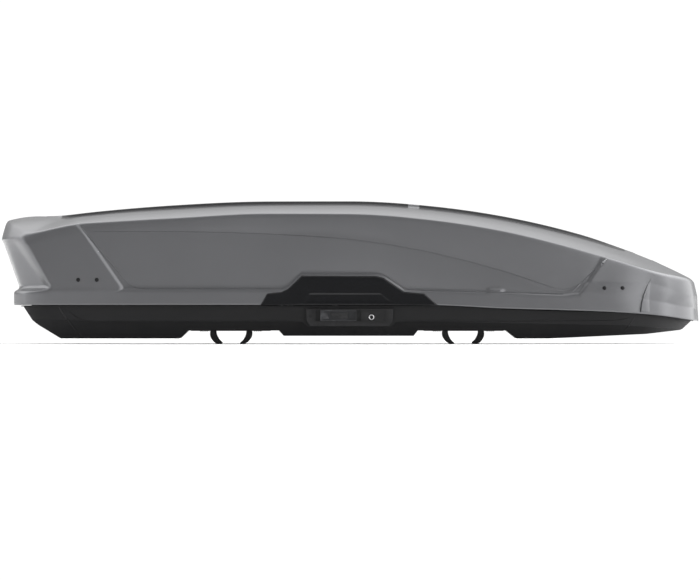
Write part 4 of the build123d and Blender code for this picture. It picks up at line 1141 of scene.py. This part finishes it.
for nodeName, piece in nodes.items():
    width = next(size for start, size in softShape["bevels"] if nodeName.startswith(start))
    smoothCad(piece, softShape["turn"])
    softenCad(piece, width, softShape)
print("cad nodes softened:", len(nodes))


stageShape = {
    "cameraBack": 60.0,
    "cameraHeight": 0.1785,
    "frameWidth": 2.3303,
    "sensor": 36.0,
    "floorReach": 7.0,
    "sightReach": 400,
}


def makeFloor(spec):
    reach = spec["floorReach"]
    z = cadBox[0][2] - 0.0005
    floor = makeMesh("floor", [(-reach, -reach, z), (reach, -reach, z), (reach, reach, z),
                               (-reach, reach, z)],
                     [(0, 1, 2, 3)])
    return floor


def makeCamera(spec):
    data = bpy.data.cameras.new("sideCamera")
    data.sensor_width = spec["sensor"]
    data.lens = spec["sensor"] * spec["cameraBack"] / spec["frameWidth"]
    data.clip_end = spec["sightReach"]
    camera = bpy.data.objects.new("sideCamera", data)
    camera.location = (0, -spec["cameraBack"], spec["cameraHeight"])
    camera.rotation_euler = (math.pi / 2, 0, 0)
    bpy.context.scene.collection.objects.link(camera)
    bpy.context.scene.camera = camera


worldShape = {
    # brightness by the angle from straight towards the camera's side, over the top, to the far side
    "bands": [(0.00, 0.42), (0.08, 0.34), (0.18, 0.24), (0.34, 0.25), (0.44, 0.8), (0.55, 1.7), (0.68, 2.8),
              (0.78, 1.5),
              (0.9, 0.45), (1.00, 0.3)],
    "below": 0.75,
    "backdrop": 1.05,
    "rearGlow": 2.2,
    "rearGlowAbove": 0.15,
    "noseGlow": 1.6,
    "noseGlowAhead": 0.25,
    "strength": 1.0,
}


def makeWorld(spec):
    world = bpy.data.worlds.new("softStudio")
    bpy.context.scene.world = world
    world.use_nodes = True
    tree = world.node_tree
    tree.nodes.clear()
    direction = addNode(tree, "ShaderNodeTexCoord").outputs["Generated"]
    parts = addNode(tree, "ShaderNodeSeparateXYZ")
    tree.links.new(direction, parts.inputs[0])
    towards = maths(tree, "MULTIPLY", parts.outputs["Y"], -1.0)
    angle = maths(tree, "ARCTAN2", parts.outputs["Z"], towards)
    share = maths(tree, "DIVIDE", angle, math.pi)
    ramp = addNode(tree, "ShaderNodeValToRGB")
    tree.links.new(share, ramp.inputs["Fac"])
    stops = ramp.color_ramp
    stops.interpolation = "EASE"
    peak = max(value for _, value in spec["bands"])
    while len(stops.elements) < len(spec["bands"]):
        stops.elements.new(0.5)
    for stop, (at, value) in zip(stops.elements, spec["bands"]):
        stop.position = at
        stop.color = (value / peak, value / peak, value / peak, 1)
    isUp = remap(tree, parts.outputs["Z"], -0.02, 0.02, 0.0, 1.0)
    sky = addNode(tree, "ShaderNodeBackground")
    ground = addNode(tree, "ShaderNodeBackground")
    backdrop = addNode(tree, "ShaderNodeBackground")
    tree.links.new(ramp.outputs["Color"], sky.inputs["Color"])
    sky.inputs["Strength"].default_value = peak * spec["strength"]
    ground.inputs["Strength"].default_value = spec["below"]
    backdrop.inputs["Strength"].default_value = spec["backdrop"]
    for plain in (ground, backdrop):
        plain.inputs["Color"].default_value = (1, 1, 1, 1)
    ends = addNode(tree, "ShaderNodeBackground")
    ends.inputs["Color"].default_value = (1, 1, 1, 1)
    towardsRear = remap(tree, parts.outputs["X"], -0.95, -0.45, spec["rearGlow"], 0.0)
    fromBelow = remap(tree, parts.outputs["Z"], -0.12, 0.08, 1.0, spec["rearGlowAbove"])
    towardsRear = maths(tree, "MULTIPLY", towardsRear, fromBelow)
    towardsNose = remap(tree, parts.outputs["X"], 0.3, 0.55, 0.0, spec["noseGlow"])
    straightAhead = remap(tree, parts.outputs["X"], 0.78, 0.95, 1.0, spec["noseGlowAhead"])
    towardsNose = maths(tree, "MULTIPLY", towardsNose, straightAhead)
    tree.links.new(maths(tree, "ADD", towardsRear, towardsNose), ends.inputs["Strength"])
    level = addNode(tree, "ShaderNodeMixShader")
    tree.links.new(isUp, level.inputs["Fac"])
    tree.links.new(ground.outputs[0], level.inputs[1])
    tree.links.new(sky.outputs[0], level.inputs[2])
    both = addNode(tree, "ShaderNodeAddShader")
    tree.links.new(level.outputs[0], both.inputs[0])
    tree.links.new(ends.outputs[0], both.inputs[1])
    seen = addNode(tree, "ShaderNodeMixShader")
    path = addNode(tree, "ShaderNodeLightPath")
    tree.links.new(path.outputs["Is Camera Ray"], seen.inputs["Fac"])
    tree.links.new(both.outputs[0], seen.inputs[1])
    tree.links.new(backdrop.outputs[0], seen.inputs[2])
    sink = addNode(tree, "ShaderNodeOutputWorld")
    tree.links.new(seen.outputs[0], sink.inputs["Surface"])


def floorFinish():
    material, tree, shader, place = startMaterial("paleFloor")
    mottled = placeGroup(tree, "drift", place, Scale=0.8)
    tree.links.new(mixColour(tree, mottled.outputs["Mask"], (0.93, 0.93, 0.93), (0.95, 0.95, 0.95)),
                   shader.inputs["Base Color"])
    shader.inputs["Roughness"].default_value = 0.9
    shader.inputs["Specular IOR Level"].default_value = 0.1
    return material


bpy.context.scene.view_settings.view_transform = "Standard"
makeWorld(worldShape)
floor = makeFloor(stageShape)
floor.data.materials.append(floorFinish())
makeCamera(stageShape)
